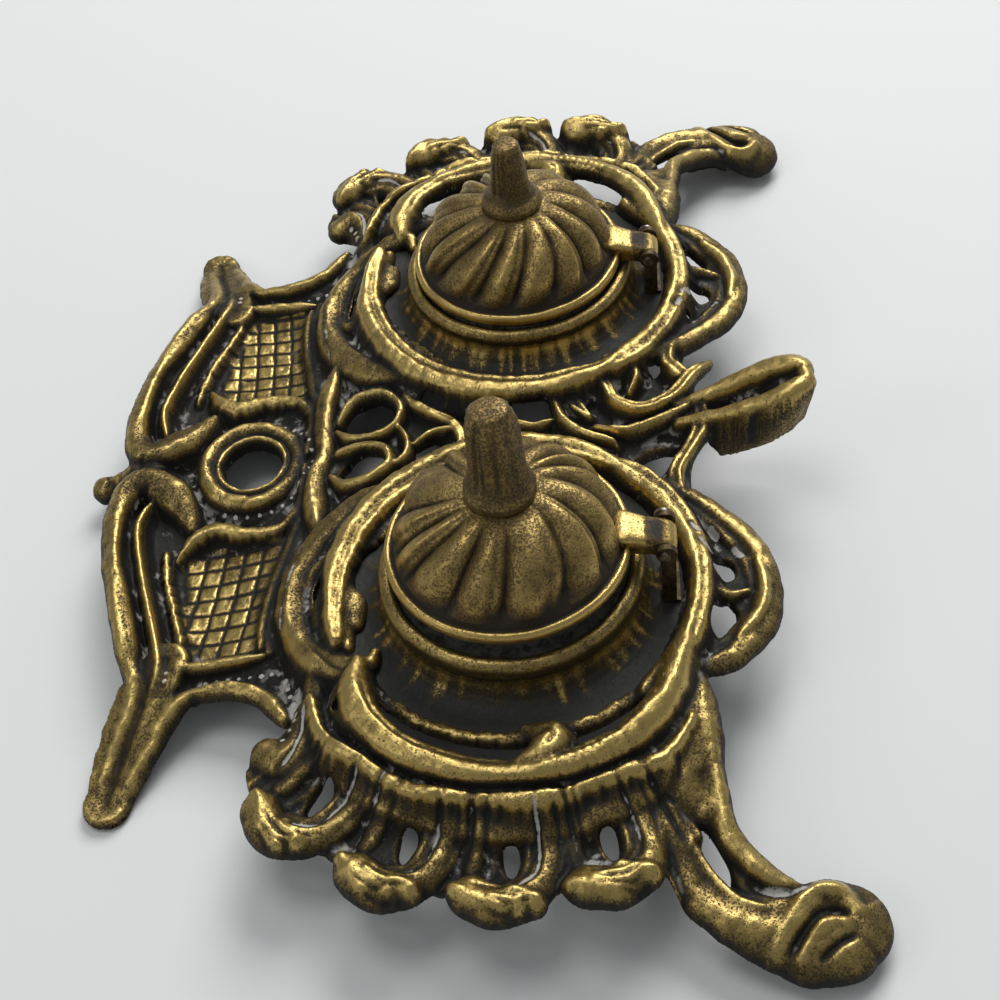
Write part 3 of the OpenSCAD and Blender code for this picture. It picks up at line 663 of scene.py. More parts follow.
def wellMouldings(layer):
    z = wells["floor"] + 2
    # ring round the saucer in two C scrolls that overlap, each with a slit, and the lip inside it
    moulding(layer, [polar(a, 34, z, 2.5 + 0.3 * math.sin(a / 17), 2.4) for a in range(44, 160, 13)],
        "double", groove=-0.3, cut=0.2, seed=11, glow=0.2)
    moulding(layer, [polar(a, 33.6 + 0.4 * math.sin(a / 23), z + 0.3, 3.3 - 1.1 * ((a - 215) / 72) ** 2,
        2.6) for a in range(146, 293, 12)], "double", groove=0.3, cut=0.26, seed=12, wave=0.12, glow=0.25)
    moulding(layer, [polar(a, 31.4, 17.8, 0.9 + 0.3 * math.sin(a / 9), 1.1) for a in range(60, 290, 12)],
        wave=0.4, seed=13, blend=0.8)
    moulding(layer, [polar(a, 32.4, z - 2, 1.3, 1.2) for a in range(-64, 60, 12)], wave=0.35, seed=14,
        blend=0.8)
    # broad frilled leaf where the ring starts at the front
    moulding(layer, roundWell((206, 31.6, 19.2, 2.6, 1.7), (226, 30.4, 19, 2.9, 1.6),
        (242, 30.8, 18.8, 2.5, 1.5), (258, 32, 19, 1.4, 1.4)), "leaf", cut=0.5, wave=0.7, seed=15, glow=0.2)
    moulding(layer, roundWell((266, 32.4, 19.6, 1.6, 1.7), (274, 29.8, 19.2, 2.6, 2.2),
        (284, 29.6, 19, 2.4, 2)), seed=16, glow=0.2)
    for a, reach in ((164, 29.2), (176, 29.6), (190, 29.2)):
        moulding(layer, roundWell((a + 6, 32.4, 18.8, 1.4, 1.3), (a, reach, 18.2, 0.7, 0.9)), "ridge",
            seed=17)
    # bold C moulding, rolled at its front end and chiselled at the other, and the wavy bead below it
    moulding(layer, roundWell((-58, 31.8, 21, 2.3, 2.2), (-50, 35.6, 21.6, 3.1, 2.8),
        (-40, 38.4, 21.4, 3, 3), (-24, 40.2, 20.8, 2.8, 3), (0, 40.8, 20.4, 2.7, 3),
        (24, 40.4, 20.8, 2.7, 3), (42, 38, 21.2, 2.8, 3), (56, 34.8, 21.2, 2.7, 2.7),
        (68, 33.4, 20.8, 2, 2.4)), hatch=(48, 62), seed=18, steps=8, glow=0.17)
    carve(layer, roundWell((-49, 34.2), (-38, 37.4), (-22, 39), (0, 39.5), (22, 39.2), (40, 37)), 0.35, 0.5,
        paint=-0.3)
    lip = []
    for a in range(-58, 50, 4):
        end = min(1, (a + 60) / 18, (52 - a) / 18)
        lip.append(polar(a, 42 + 3 * end + 0.5 * math.sin(math.radians(a * 13)),
            17 + 2.3 * end + 0.4 * math.sin(math.radians(a * 17)), 1.1 + 0.6 * end, 2.1))
    moulding(layer, lip, wave=0.35, seed=19, steps=3, glow=0.25, blend=0.6, taper=False)
    carve(layer, [polar(a, 43.4 + 0.2 * math.sin(a)) for a in range(-50, 38, 8)], 0.45, 1.1, paint=-1.1)
    moulding(layer, roundWell((-52, 43, 16.4, 2.8, 1.8), (-30, 46.2, 15.8, 3.8, 2.2),
        (0, 46.8, 15.6, 4, 2.2), (26, 46.4, 15.9, 4, 2.2), (40, 42.6, 16.8, 3.4, 2)), blend=1.6, seed=20)
    # leaf curl across the crescent
    moulding(layer, roundWell((5, 31.2, 18.8, 2, 1.6), (12, 34.2, 21, 3.2, 2.6), (9, 37.8, 21.4, 3.5, 3),
        (2.5, 39.8, 20.8, 2.6, 2.4)), seed=21, glow=0.2)
    moulding(layer, roundWell((14.5, 33.4, 20.4, 1.7, 1.8), (16.6, 36.2, 19.6, 1.4, 1.6),
        (15, 38.4, 19, 1, 1.4)), seed=22, glow=0.1)
    carve(layer, roundWell((9, 32.6), (12.4, 35.4), (9, 38)), 0.3, 0.6)
    carve(layer, roundWell((5, 33), (7, 35.6), (4, 37.4)), 0.3, 0.4)
    for k, a in enumerate(fan["slots"]):
        fanLobe(layer, a, 31 + 7 * k)
    # first petal, and the curl that leads to it
    moulding(layer, roundWell((-66, 39.4, 14.6, 1.8, 2), (-57, 42.4, 14.2, 2.6, 2.4),
        (-51.5, 47.6, 13.8, 3.2, 3), (-51.6, 51.6, 12.8, 3.8, 3.6), (-54.6, 53, 12.4, 3.5, 3.4)), seed=51,
        taper=False, blend=1, glow=0.1)
    carve(layer, roundWell((-60, 43), (-54, 46), (-50.4, 49.6), (-49.6, 54)), 0.5, 0.9, white=0.85,
        paint=-0.3)


# Back legs: middle, half sizes and turn of the long eyelet
legHole = ((93, 32.6), (8.2, 1.8), 27)


def legWork(layer):
    inner = [polar(57, 38), (70.3, 35), (77.6, 34.4), (84.1, 33.8), (89.3, 36.2), (94.4, 40.2), (97.6, 43.8),
        (98.6, 47.6)]
    outer = [(108.8, 42.6), (104.8, 34), (101.6, 29.6), (96.8, 27.2), (91.2, 24.4), (86.4, 22.2),
        polar(26, 40)]
    loop = []
    for side in (inner, outer):
        loop += [tuple(p) for p in smoothCurve([q[:2] for q in side], 4)]
    at, size, turn = legHole
    plate(layer, loop, legTop, [oval(*at, *size, turn, 30)], thick=3.4, blend=1.2)
    # full smooth surface between the C moulding and the eyelet
    moulding(layer, roundWell((50, 39.5, 16, 5.4, 4.2), (42.6, 43.4, 15.2, 6.6, 4.2),
        (36.4, 48.4, 13.6, 5.4, 3.8), (36.6, 53.6, 12, 3.6, 3)), blend=1.6, seed=61, taper=False, glow=0.6)
    # rolled edges of the eyelet: a bold rib at the back, a thin lip and the broad strap in front
    moulding(layer, [polar(58, 38.4, 17.2, 2, 2.4), polar(47, 45, 15.8, 2.4, 2.9),
        polar(41.4, 51, 13.8, 2.3, 3), (89.2, 35.2, 12, 2.2, 2.9), (93.8, 38.4, 10.2, 2.2, 2.8),
        (97, 42, 8.8, 2.5, 2.9), (98.4, 45.8, 7.6, 2.5, 2.9)], seed=62, glow=0.25, blend=1.2)
    moulding(layer, [(88.4, 29, 12.2, 1, 1.6), (91.6, 29.6, 11.6, 1, 1.7), (96.4, 31.8, 10.6, 1.1, 1.8),
        (101, 36, 9.4, 1.3, 1.9), (102.4, 40.4, 9, 1.4, 2.1)], seed=63, blend=0.7, glow=0.2)
    moulding(layer, [polar(27, 44, 15, 3.4, 2.6), (86.4, 24.6, 12.8, 3.2, 3), (93.6, 27.2, 10.8, 3.2, 3),
        (99.8, 30.6, 8.8, 3.6, 3.3), (103.6, 36.2, 7.2, 4.4, 4.2), (105.4, 42, 5.8, 5.6, 4.8)], seed=64,
        taper=False, blend=1.2, glow=0.17)
    # hollow behind the toe keeps its pale residue
    moulding(layer, [(97.4, 38.6, 7.8, 3, 2.2), (99.8, 42.6, 7.2, 3.2, 2.2), (100.2, 47, 6.4, 3.2, 2.4)],
        blend=1.2, seed=68, taper=False)
    # scroll toe with its curl and two grooves
    moulding(layer, [(103.4, 43, 5.4, 7.2, 4.8), (104.6, 47, 4.8, 8.6, 5.4), (104.6, 50.9, 4.4, 8.8, 5.4),
        (103.2, 53.4, 3.9, 7.6, 4.8)], blend=1, seed=65, taper=False, glow=0.15)
    moulding(layer, [(109, 42, 7.4, 1.8, 1.8), (104.2, 44.8, 8.6, 2.1, 2.2), (99.8, 48.4, 8.2, 2.3, 2.6),
        (99.2, 52.6, 7.2, 2.5, 2.6), (102, 55, 6.8, 2.3, 2.4)], "ridge", groove=0.2, blend=1.3, seed=66,
        taper=False, glow=0.3)
    moulding(layer, [(109.6, 45.8, 7.2, 1.6, 1.6), (105.8, 49, 8.2, 2, 2.2), (104.8, 52.8, 7.6, 2.1, 2.2)],
        "ridge", groove=0.2, blend=1.2, seed=67, taper=False, glow=0.2)
    carve(layer, [(110.2, 43.6), (106.2, 46.6), (102.8, 50), (102.6, 54.2)], 0.7, 1.5, paint=-0.8)
    carve(layer, [(110.8, 48.4), (108.2, 51.6), (106.4, 55.2)], 0.5, 1.1, paint=-0.6)
    carve(layer, [(97.4, 37.6), (99.4, 41.4), (99.4, 45.6), (97.8, 48.8)], 1, 0.7, white=0.6, paint=-0.6)
    carve(layer, roundWell((46, 38.6), (40, 44), (34, 50)), 0.3, 0.25, paint=-0.9)
    carve(layer, [polar(34, 42), polar(31, 48), (86, 27.4)], 0.45, 0.7, paint=-0.9)


def loopHandle(layer):
    # web inside the loop, with its two openings
    inside = [polar(a, 33.5) for a in range(58, 146, 8)]
    outside = [polar(134, 36), polar(118, 39.6), polar(104, 43), polar(92, 44.6), polar(78, 43),
        polar(66, 39), polar(58, 36)]
    plate(layer, inside + outside, 16.6, [oval(49.8, 37.6, 4.3, 2.5, -14), oval(38, 38.2, 2.6, 2.3, 20),
        oval(30.6, 35.4, 1, 0.8, 30)], thick=2.2, blend=0.8, paint=-0.3)
    moulding(layer, roundWell((146, 33.6, 19.4, 1.6, 2.4), (132, 35.4, 18.2, 2.4, 2.6),
        (116, 40, 16.8, 3.1, 2.7), (100, 44.6, 15.4, 3.4, 3), (84, 45.2, 14.8, 3.5, 3),
        (70, 41.2, 15.6, 3.3, 2.8), (59, 36, 17, 2.4, 2.2)), "double", groove=-0.35, cut=0.34, seed=71,
        glow=0.1)
    moulding(layer, [(36.6, 44.4, 16.8, 1, 1.8), (42, 45.4, 16.6, 1.6, 2.2), (48.6, 43.8, 16.6, 1.7, 2.2),
        (54.2, 39.8, 17, 1.4, 2)], seed=75, blend=1, glow=0.1)
    moulding(layer, [(20.6, 31.4, 18.6, 1.2, 1.8), (18.8, 28, 18.6, 1.8, 2), (22.4, 25.6, 19, 1.6, 1.8)],
        seed=72)
    moulding(layer, [(40, 32.6, 18.8, 1.9, 2.2), (43.2, 35.4, 18, 2, 2.2), (44.4, 39, 17.2, 1.5, 1.8),
        (43.6, 42.4, 16.8, 1.2, 1.6)], seed=73, blend=0.8)
    moulding(layer, roundWell((60, 36.4, 18.4, 1.6, 1.9), (66, 34.4, 19.4, 2, 2.1),
        (71, 35.6, 19, 1.5, 1.7)), seed=74)
    for spot in ((31.4, 33.6), (29.6, 37), (35, 35), (34.4, 41.2)):
        carve(layer, [(spot[0] - 1.6, spot[1] - 1), spot, (spot[0] + 1.4, spot[1] + 1.4)], 0.9, 0.6,
            white=0.8)


def frontScroll(layer):
    # broad smooth C strap in front of the well
    moulding(layer, roundWell((-142, 34.6, 18.8, 2, 2.4), (-128, 38.6, 16.8, 3.2, 3),
        (-112, 41.4, 14.2, 3.8, 3.8), (-97, 42.4, 12.8, 3.9, 4), (-84, 41, 13.2, 3.7, 3.8),
        (-72, 38.2, 15, 3.5, 3.5), (-63, 35, 17.6, 3, 3), (-59, 31.4, 19.6, 2, 2)), seed=81, blend=0.9,
        glow=0.25)
    # hooked bar inside it
    moulding(layer, [(38.6, -39.8, 14, 1.3, 1.8), (34.8, -38.2, 15.4, 1.9, 2.2),
        (33.8, -34.8, 17.4, 2.1, 2.5), (37.2, -32.4, 18.4, 2.1, 2.5), (43, -31.8, 18.8, 2.1, 2.5),
        (49, -31.2, 19, 2, 2.3), (54.4, -29.6, 19, 1.8, 2)], seed=82, blend=0.3, glow=0.25)
    moulding(layer, [(56.4, -34.4, 16.4, 1.6, 2), (59.4, -30.2, 18.6, 1.9, 2.2), (59, -25.8, 19.8, 1.9, 2),
        (55.8, -24.4, 19.6, 1.4, 1.6)], seed=83, glow=0.3)
    carve(layer, [(36.4, -36.6), (43, -35.6), (50, -34.8)], 0.8, 1.6, paint=-1.2)
    carve(layer, [(52, -37.6), (57.6, -33), (61.4, -28)], 0.3, 0.4, paint=-0.6)


def frontPanel(layer):
    # dished floor of the panel
    back = onPanel((-0.02, -0.1), (0.24, -0.08), (0.46, -0.05), (0.68, -0.04), (0.86, -0.04), (1, -0.1))
    front = onPanel((1, 0.62), (0.86, 0.74), (0.68, 0.84), (0.46, 0.94), (0.24, 1), (-0.02, 0.98))
    plate(layer, back + front, panelTop, paint=-0.5)
    z = panel["height"]
    # front rim: broad ridge, a dark groove and a second ridge, rolled over at the middle end
    moulding(layer, onPanel((0.27, 0.58, z - 0.8, 2, 1.6), (0.18, 0.65, z + 0.2, 3.4, 2.7),
        (0.1, 0.77, z + 0.6, 3.8, 3.3), (0.07, 0.9, z + 0.8, 3.4, 3.3), (0.16, 0.985, z + 0.8, 2.8, 3.1),
        (0.37, 0.97, z + 1.2, 2.7, 3.1), (0.6, 0.872, z + 1.4, 2.7, 3.1), (0.78, 0.79, z + 0.6, 2.8, 3.1),
        (0.92, 0.73, z - 1.2, 2.8, 3.1)), seed=91, steps=8, glow=-0.15)
    moulding(layer, onPanel((0.16, 0.82, z - 0.2, 1.2, 2.2), (0.28, 0.865, z + 0.2, 1.5, 2.5),
        (0.45, 0.815, z + 0.2, 1.6, 2.5), (0.62, 0.735, z + 0.2, 1.6, 2.5), (0.78, 0.655, z, 1.6, 2.5),
        (0.9, 0.615, z - 1, 1.8, 2.5), (1, 0.65, z - 3, 1.8, 2.2)), "ridge", groove=0.25, seed=92, glow=0.1)
    carve(layer, onPanel((0.1, 0.84), (0.22, 0.915), (0.42, 0.895), (0.6, 0.8), (0.78, 0.715), (0.93, 0.67)),
          0.55, 1.6, paint=-1.2)
    # leaf tip: one broad leaf with a curved groove and rolled edges, down to the table
    moulding(layer, onPanel((0.86, 0.58, 9, 4.4, 2.6), (0.97, 0.65, 7.4, 5.8, 3), (1.08, 0.705, 5.4, 6, 3.2),
        (1.18, 0.755, 3.2, 5.6, 3), (1.26, 0.79, 1.9, 5, 2.6), (1.31, 0.81, 1.4, 4.4, 2.2)), "leaf",
        cut=0.26, seed=93, taper=False, blend=0.9, glow=0.3)
    moulding(layer, onPanel((0.92, 0.73, z - 1.4, 2.6, 3), (1.02, 0.735, z - 3.6, 2, 2.8),
        (1.14, 0.79, z - 6.2, 1.6, 2.4), (1.24, 0.84, 2.4, 1.3, 1.8)), seed=90, glow=0.3, blend=1.2)
    moulding(layer, onPanel((0.98, 0.42, z - 1.2, 1.8, 2.2), (1.03, 0.52, z - 2.6, 2.2, 2.4),
        (1.12, 0.60, z - 5, 1.8, 2.4), (1.25, 0.70, 2.4, 1.4, 2)), seed=94, glow=0.3, blend=1.4)
    # borders of the lattice: along the wells, at the side and round the pen ring
    moulding(layer, onPanel((0.25, -0.01, z + 0.4, 1, 1.7), (0.44, 0.045, z + 0.1, 1.2, 1.8),
        (0.64, 0.095, z + 0.1, 1.2, 1.8), (0.83, 0.10, z, 1.1, 1.8)), seed=95, glow=0.25)
    moulding(layer, onPanel((0.28, -0.07, z + 1, 1.6, 1.8), (0.46, -0.02, z + 0.7, 1.9, 1.9),
        (0.66, 0.03, z + 0.7, 1.9, 1.9), (0.85, 0.045, z + 0.8, 1.6, 1.9)), "strap", seed=89, glow=0.3)
    moulding(layer, onPanel((0.86, 0.08, z, 1.1, 1.8), (0.875, 0.28, z - 0.6, 1.3, 1.8),
        (0.885, 0.52, z - 1.2, 1.4, 1.8)), seed=96, glow=0.25)
    moulding(layer, onPanel((1.13, -0.08, z + 1.4, 2, 2.2), (1.03, 0.05, z + 0.6, 1.9, 2.2),
        (0.985, 0.22, z - 0.2, 1.7, 2.2), (0.985, 0.4, z - 1, 1.8, 2.2)), seed=97, glow=0.1, blend=1)
    moulding(layer, onPanel((0.03, 0, z + 1, 1.4, 1.9), (0.2, -0.01, z + 0.6, 1.4, 1.9),
        (0.305, 0.08, z + 0.2, 1.6, 1.9), (0.325, 0.27, z, 1.8, 2), (0.30, 0.42, z, 2, 2.1),
        (0.33, 0.54, z - 0.2, 1.8, 2.1), (0.42, 0.63, z - 0.8, 0.8, 1.4)), seed=98, glow=0.23, wave=0.35)
    # inner ridge that borders the plain front of the floor
    moulding(layer, onPanel((0.37, 0.7, 8.8, 0.8, 0.9), (0.52, 0.66, 9, 0.9, 0.9), (0.68, 0.58, 9, 0.9, 0.9),
        (0.84, 0.5, 8.8, 0.9, 0.9)), seed=99, glow=0.1, wave=0.3, blend=0.8)
    pearls(layer, onPanel((0.93, 0), (0.925, 0.2), (0.93, 0.42)), 2.2, 0.55)
    pearls(layer, [panelSpot(0.95, -0.04), panelSpot(1.06, -0.1), polar(-64, 44.4), polar(-57, 46.6),
        polar(-54.6, 50.4)], 2.1, 0.6)
    carve(layer, onPanel((0.26, -0.115), (0.48, -0.075), (0.7, -0.02), (0.9, -0.02)), 0.6, 0.9, white=0.5,
        paint=-0.6)
    pearls(layer, onPanel((0.9, 0.56), (0.955, 0.56)), 1.6, 0.5)


def panelTop(x, y):
    t = np.clip((panel["back"] - y) / 34, 0, 1)
    return 7.6 + 2.6 * (1 - t) ** 3 + t ** 4 - 0.8 * np.sin(math.pi * t)


# Squares of the panel: pitch both ways, height and line width in mm, and how many of them
lattice = {"row": 3.72, "column": 3.9, "square": 0.5, "line": 0.4, "rows": 8.6, "columns": 5.2}


# Raised squares with dark lines between them, that fade out towards the front
def latticeOn(layer):
    x, y = np.abs(cellX), cellY
    turned = x - 17.2 + 0.06 * (y + 47)
    start = -46.6 - 0.09 * np.clip(x - 17, 0, 40) - 0.002 * (x - 33) ** 2
    du = turned / lattice["row"]
    dv = (start - y) / lattice["column"] + 0.015 * np.sin(x)
    offRow, offColumn = np.abs(du - np.round(du)), np.abs(dv - np.round(dv))
    cut = np.minimum(offRow * lattice["row"], offColumn * lattice["column"])
    inField = (dv > 0) * (du > 0) * (du < lattice["rows"])
    fade = np.clip((lattice["columns"] + 0.45 * np.sin(x * 0.35) - dv) / 0.5, 0, 1) * inField
    fade *= np.clip((panelTop(x, y) + 1 - layer["top"]) / 0.4, 0, 1)  # the borders stay plain
    square = np.clip((cut - 0.12) / lattice["line"], 0, 1) ** 0.6 * fade
    layer["top"] += lattice["square"] * square
    wear = blurred(np.random.default_rng(5).standard_normal(cellX.shape), 1.1)
    layer["paint"] += square * (1.6 + 0.4 * wear / wear.std()) - 0.5 * fade * (1 - square)


def middleWork(layer):
    # broad strap that runs along the front of both wells
    moulding(layer, [(-22, -39.6, 14, 2.4, 3), (-13.4, -41.2, 12.6, 2.6, 3), (-6, -41, 12.4, 2.4, 2.8),
        (0, -40.2, 12.2, 2.2, 2.6), (6, -41.2, 12.2, 2.4, 2.8), (13.6, -41, 12.6, 2.6, 3),
        (22, -39.4, 14, 2.4, 3)], seed=101, glow=0.2)
    # two eyelets
    moulding(layer, [(-7.4, -37.8, 13.6, 1.3, 2.2), (-12.2, -34.4, 15, 1.4, 2.4),
        (-12.4, -28.4, 16, 1.4, 2.4), (-8.6, -24.6, 16.4, 1.3, 2.4), (-3.4, -25.2, 16.2, 1.1, 2.2),
        (-1.2, -29.4, 15.4, 1.1, 2.2), (-1.8, -34.6, 14.2, 1.2, 2.2), (-4.6, -38, 13.4, 1.2, 2.2)], seed=102,
        blend=0.3, glow=0.2)
    moulding(layer, [(1.6, -37.4, 13.6, 1.2, 2.2), (1.2, -31.6, 15.2, 1.1, 2.2), (3.2, -27, 16.2, 1.2, 2.4),
        (8.2, -25.6, 16.8, 1.3, 2.4), (11.6, -29.6, 16.4, 1.4, 2.4), (11.2, -34.8, 14.6, 1.4, 2.4),
        (7.6, -38.2, 13.6, 1.3, 2.2)], seed=103, blend=0.3, glow=0.2)
    moulding(layer, [(-2.6, -24.6, 16.6, 0.8, 1.8), (1.2, -22.6, 17, 0.8, 2), (5.4, -22.4, 17, 1, 2),
        (8.6, -25, 17, 0.9, 1.8)], seed=104, blend=0.3, glow=0.2)
    # curl with its leaf, between the wells
    moulding(layer, [(-13.4, -24.2, 17, 1, 2), (-9, -22.6, 17.2, 1.1, 2.2), (-5.6, -18.6, 17.2, 1.2, 2.4),
        (-2.4, -13.8, 17.2, 1.3, 2.4), (3.4, -11.2, 17.2, 1.3, 2.4), (8.6, -13.4, 17.4, 1.1, 2.2)], "double",
        groove=0.1, cut=0.3, seed=105, blend=0.3, glow=0.2)
    moulding(layer, [(3.2, -21.6, 16.8, 0.8, 1.8), (0, -17.4, 17, 0.9, 2), (-0.2, -13, 17.2, 0.9, 2)],
        seed=106, blend=0.3)
    # closed loop and the S scrolls behind it
    moulding(layer, [(9.6, -7.4, 17.2, 1, 2), (3.4, -7.6, 17.4, 1.2, 2.3), (-3.4, -7.2, 17.4, 1.3, 2.4),
        (-8.8, -3.8, 17.6, 1.2, 2.4), (-10, 1.4, 17.8, 1.2, 2.4), (-7.2, 6.6, 17.8, 1.2, 2.4),
        (-0.8, 9, 17.8, 1.2, 2.4), (3.8, 13.4, 17.8, 1.2, 2.3), (6.2, 19.2, 18, 1, 2)], seed=107, blend=0.3,
        glow=0.2)
    moulding(layer, [(-5.4, -3.4, 17, 0.8, 1.8), (-1.6, -1.2, 17.2, 0.9, 2), (0.2, 3.4, 17.2, 0.9, 2),
        (-1.4, 7, 17.2, 0.8, 1.8)], seed=108, blend=0.3)
    moulding(layer, [(-11.2, 9.2, 17.6, 1.2, 2), (-6.4, 10.8, 17.4, 1.5, 2.2), (-2.4, 14.2, 17.4, 1, 1.8)],
        "leaf", seed=109, blend=0.3)
    moulding(layer, [(-14.6, 11.6, 17.8, 1, 2), (-10.8, 17.2, 18, 1.4, 2.4), (-5.2, 19.6, 18.2, 1.5, 2.5),
        (-2.2, 25, 18.4, 1.6, 2.6), (-5, 31.2, 18.8, 1.9, 2.8), (-10.8, 35.4, 18.8, 1.6, 2.6),
        (-15.6, 39.4, 18, 1, 2)], "double", groove=0.2, cut=0.3, seed=110, blend=0.4, glow=0.2)
    moulding(layer, [(1.2, 15.4, 17.6, 1, 1.8), (3, 21.3, 17.8, 1.2, 2.2), (1, 28.3, 18.2, 1.3, 2.4),
        (-1.4, 34, 18.8, 1.6, 2.6)], seed=111, blend=0.3, glow=0.15)
    moulding(layer, [(-8, 22.4, 17.6, 0.8, 1.8), (-12.6, 24, 17.8, 1.2, 2.2), (-16.6, 21.6, 18, 1.2, 2.2),
        (-18.4, 17.4, 18.2, 1, 1.8)], seed=112, blend=0.3, glow=0.1)
    moulding(layer, [(-3.4, 36.4, 18.6, 1.8, 2.8), (3.7, 36.4, 18.6, 2, 2.8), (9.4, 33.8, 18.4, 1.7, 2.6),
        (15.8, 30.8, 18.4, 1.7, 2.6), (22, 31.8, 18.4, 1.5, 2.4)], "double", groove=-0.2, cut=0.35, seed=113,
        glow=0.2)
    moulding(layer, [(-9.8, 34.6, 18.6, 1.8, 2.6), (-15.6, 30.6, 18.4, 1.6, 2.4),
        (-22, 31.8, 18.4, 1.5, 2.4)], "double", groove=0.2, cut=0.35, seed=114, glow=0.2)
    moulding(layer, [(11, 9, 17.2, 1.2, 1.8), (9.2, 14.6, 17.6, 1.5, 2.2), (12.4, 20.4, 18, 1.3, 2),
        (17.6, 23, 18.2, 1, 1.8)], "leaf", seed=115, blend=0.3, glow=0.1)


def crestLeaf(layer):
    edge = [(-3.2, 32), (-4.8, 38.4), (-6.2, 44.2), (-6.4, 50), (-5.2, 54), (-2.6, 56.6)]
    loop = edge + [(-x, y) for x, y in reversed(edge)]

    def height(x, y):
        return np.interp(y, [33, 38, 44, 50, 55, 58], [17.6, 19.4, 22.4, 25.4, 27.6, 27.8])

    plate(layer, loop, height, thick=8.6, blend=0.5, paint=-0.1)
    heights, widths = (18.4, 20.4, 23.2, 26, 27.6, 28.2), (1.8, 2.1, 2.4, 2.6, 2.6, 2.4)
    rim = [(x * 0.66, y, z, w, 2.6) for (x, y), z, w in zip(edge, heights, widths)]
    for seed, hand in ((121, 1), (122, -1)):
        points = [(hand * x, *rest) for x, *rest in rim] + [(0, 56.2, 28.8, 1.9, 2.2)]
        moulding(layer, points, seed=seed, glow=0.23, blend=0.6)
    moulding(layer, [(-3.4, 33, 18.8, 1.4, 2), (-2.8, 37.2, 20.2, 1.3, 1.8), (-0.8, 40.4, 20.8, 0.9, 1.4)],
        seed=123, glow=0.3, blend=0.4)
    carve(layer, [(-0.6, 38), (-0.4, 42), (0.2, 47), (0.4, 51)], 1.1, 2.4, paint=-0.9)


# The oval ring that holds the pens, and how much wider and deeper than round it is
penPlan = {"y": -56, "wide": 1.1, "deep": 1.02, "hole": 5.9, "points": 40}


def penOval(wide, deep, first, last):
    turns = [2 * math.pi * i / penPlan["points"] for i in range(first, last)]
    return [(wide * math.cos(t), penPlan["y"] + deep * math.sin(t)) for t in turns]


def penRing(layer):
    for k, (radius, z, wide, high, glow) in enumerate(((9.5, 9.4, 2.1, 2.6, 0.25), (6.9, 9, 1, 2.6, 0.2))):
        ring = penOval(radius * penPlan["wide"], radius * penPlan["deep"], 0, penPlan["points"] + 1)
        moulding(layer, [(*p, z, wide, high) for p in ring], steps=2, seed=131 + k, blend=0.3, glow=glow)
    around = penOval(13.4, 12.6, -3, 24)
    moulding(layer, [(*p, 7.6, 1.3, 1.4) for p in around], steps=2, seed=133, blend=0.5)
    pearls(layer, [(p[0] * 0.985, p[1]) for p in around], 2.5, 0.5, 4)
    moulding(layer, [(0, -76.6, 9.4, 2.4, 3), (0, -81.4, 8.8, 3.2, 3), (0, -84.4, 7.6, 2.2, 2.4)], seed=134,
        taper=False, glow=0.15)
    moulding(layer, [(0.2, -84.6, 5.8, 2, 2.2), (0.4, -87.8, 5.4, 3.1, 3.2), (0.2, -88.6, 5.4, 2.9, 3)],
        seed=135, taper=False, glow=0.15)
    carve(layer, [(-2.4, -78.8), (0, -79.6), (2.4, -78.8)], 0.4, 0.8)
    carve(layer, [(-1.8, -88.4), (0.6, -87.4), (2.2, -88.2)], 0.3, 0.5)


def castField():
    half = newLayer()
    for work in (fanPlate, legWork, frontPanel, wellMouldings, frontScroll, loopHandle):
        work(half)
    whole = newLayer()
    webPlate(whole)
    # nothing of the plate is left under the saucers
    bored = wellRadius(cellX, cellY) - wells["bore"]
    whole["in"] = np.minimum(whole["in"], bored)
    whole["top"] = np.where(bored < -1.2, -40, whole["top"])
    for part in (half, {k: v[:, ::-1] for k, v in half.items()}):
        mergeInto(whole, slice(None), part["top"], part["low"], part["in"], 0.5, 0.6)
        whole["paint"] += part["paint"]
        whole["white"] = np.maximum(whole["white"], part["white"])
    for work in (middleWork, crestLeaf, penRing, latticeOn):
        work(whole)
    hole = np.hypot(cellX / penPlan["wide"], (cellY - penPlan["y"]) / penPlan["deep"]) - penPlan["hole"]
    whole["in"] = np.minimum(whole["in"], hole)
    # the worn, uneven skin of an old casting
    uneven = cast["rough"] * (softNoise(1, 0.5) * 0.55 + softNoise(2, 1.4) + 0.9 * softNoise(3, 3.2))
    body = (whole["in"] > -0.3).astype(float)
    soft = blurred(whole["top"] * body, 0.24) / np.maximum(blurred(body, 0.24), 0.02)
    whole["top"] = np.where(body > 0, soft, whole["top"]) + uneven
    # the underside rises towards every outline, so no edge stands as a wall, except at the crest
    crest = np.clip((cellY - 37) / 3, 0, 1) * (np.abs(cellX) < 9)
    whole["paint"] += 0.8 * crest * np.clip((1.8 - whole["in"]) / 1.2, 0, 1)
    draught = 0.9 + 2.6 * np.sqrt(np.clip(blurred(np.clip(whole["in"], -3, 6), 0.5), 0, 6)) + 8 * crest
    whole["low"] = np.maximum(whole["low"], whole["top"] - draught)
    whole["low"] = np.clip(np.minimum(whole["low"], whole["top"] - 0.8), 0, None)
    whole["low"] = np.where(whole["low"] < 0.7, 0, whole["low"])
    return whole


def castAttributes(layer):
    body = (layer["in"] > -0.2).astype(float)
    top = np.clip(layer["top"], 0, 40) * body
    share, mean = {}, {}
    for name, size in (("ridge", 0.75), ("dip", 3.0)):
        share[name] = blurred(body, size)
        mean[name] = blurred(top, size) / np.maximum(share[name], 0.02)
    ridge = top - mean["ridge"] + 0.9 * (1 - share["ridge"])
    dip = (mean["dip"] - top - 0.9 * (1 - share["dip"])) * np.clip(layer["in"] / 1.1, 0.35, 1)
    reportRelief("casting", ridge[body > 0], dip[body > 0])
    return ridge, dip


castLayer = castField()
castRidge, castDip = castAttributes(castLayer)
print("casting drawn")


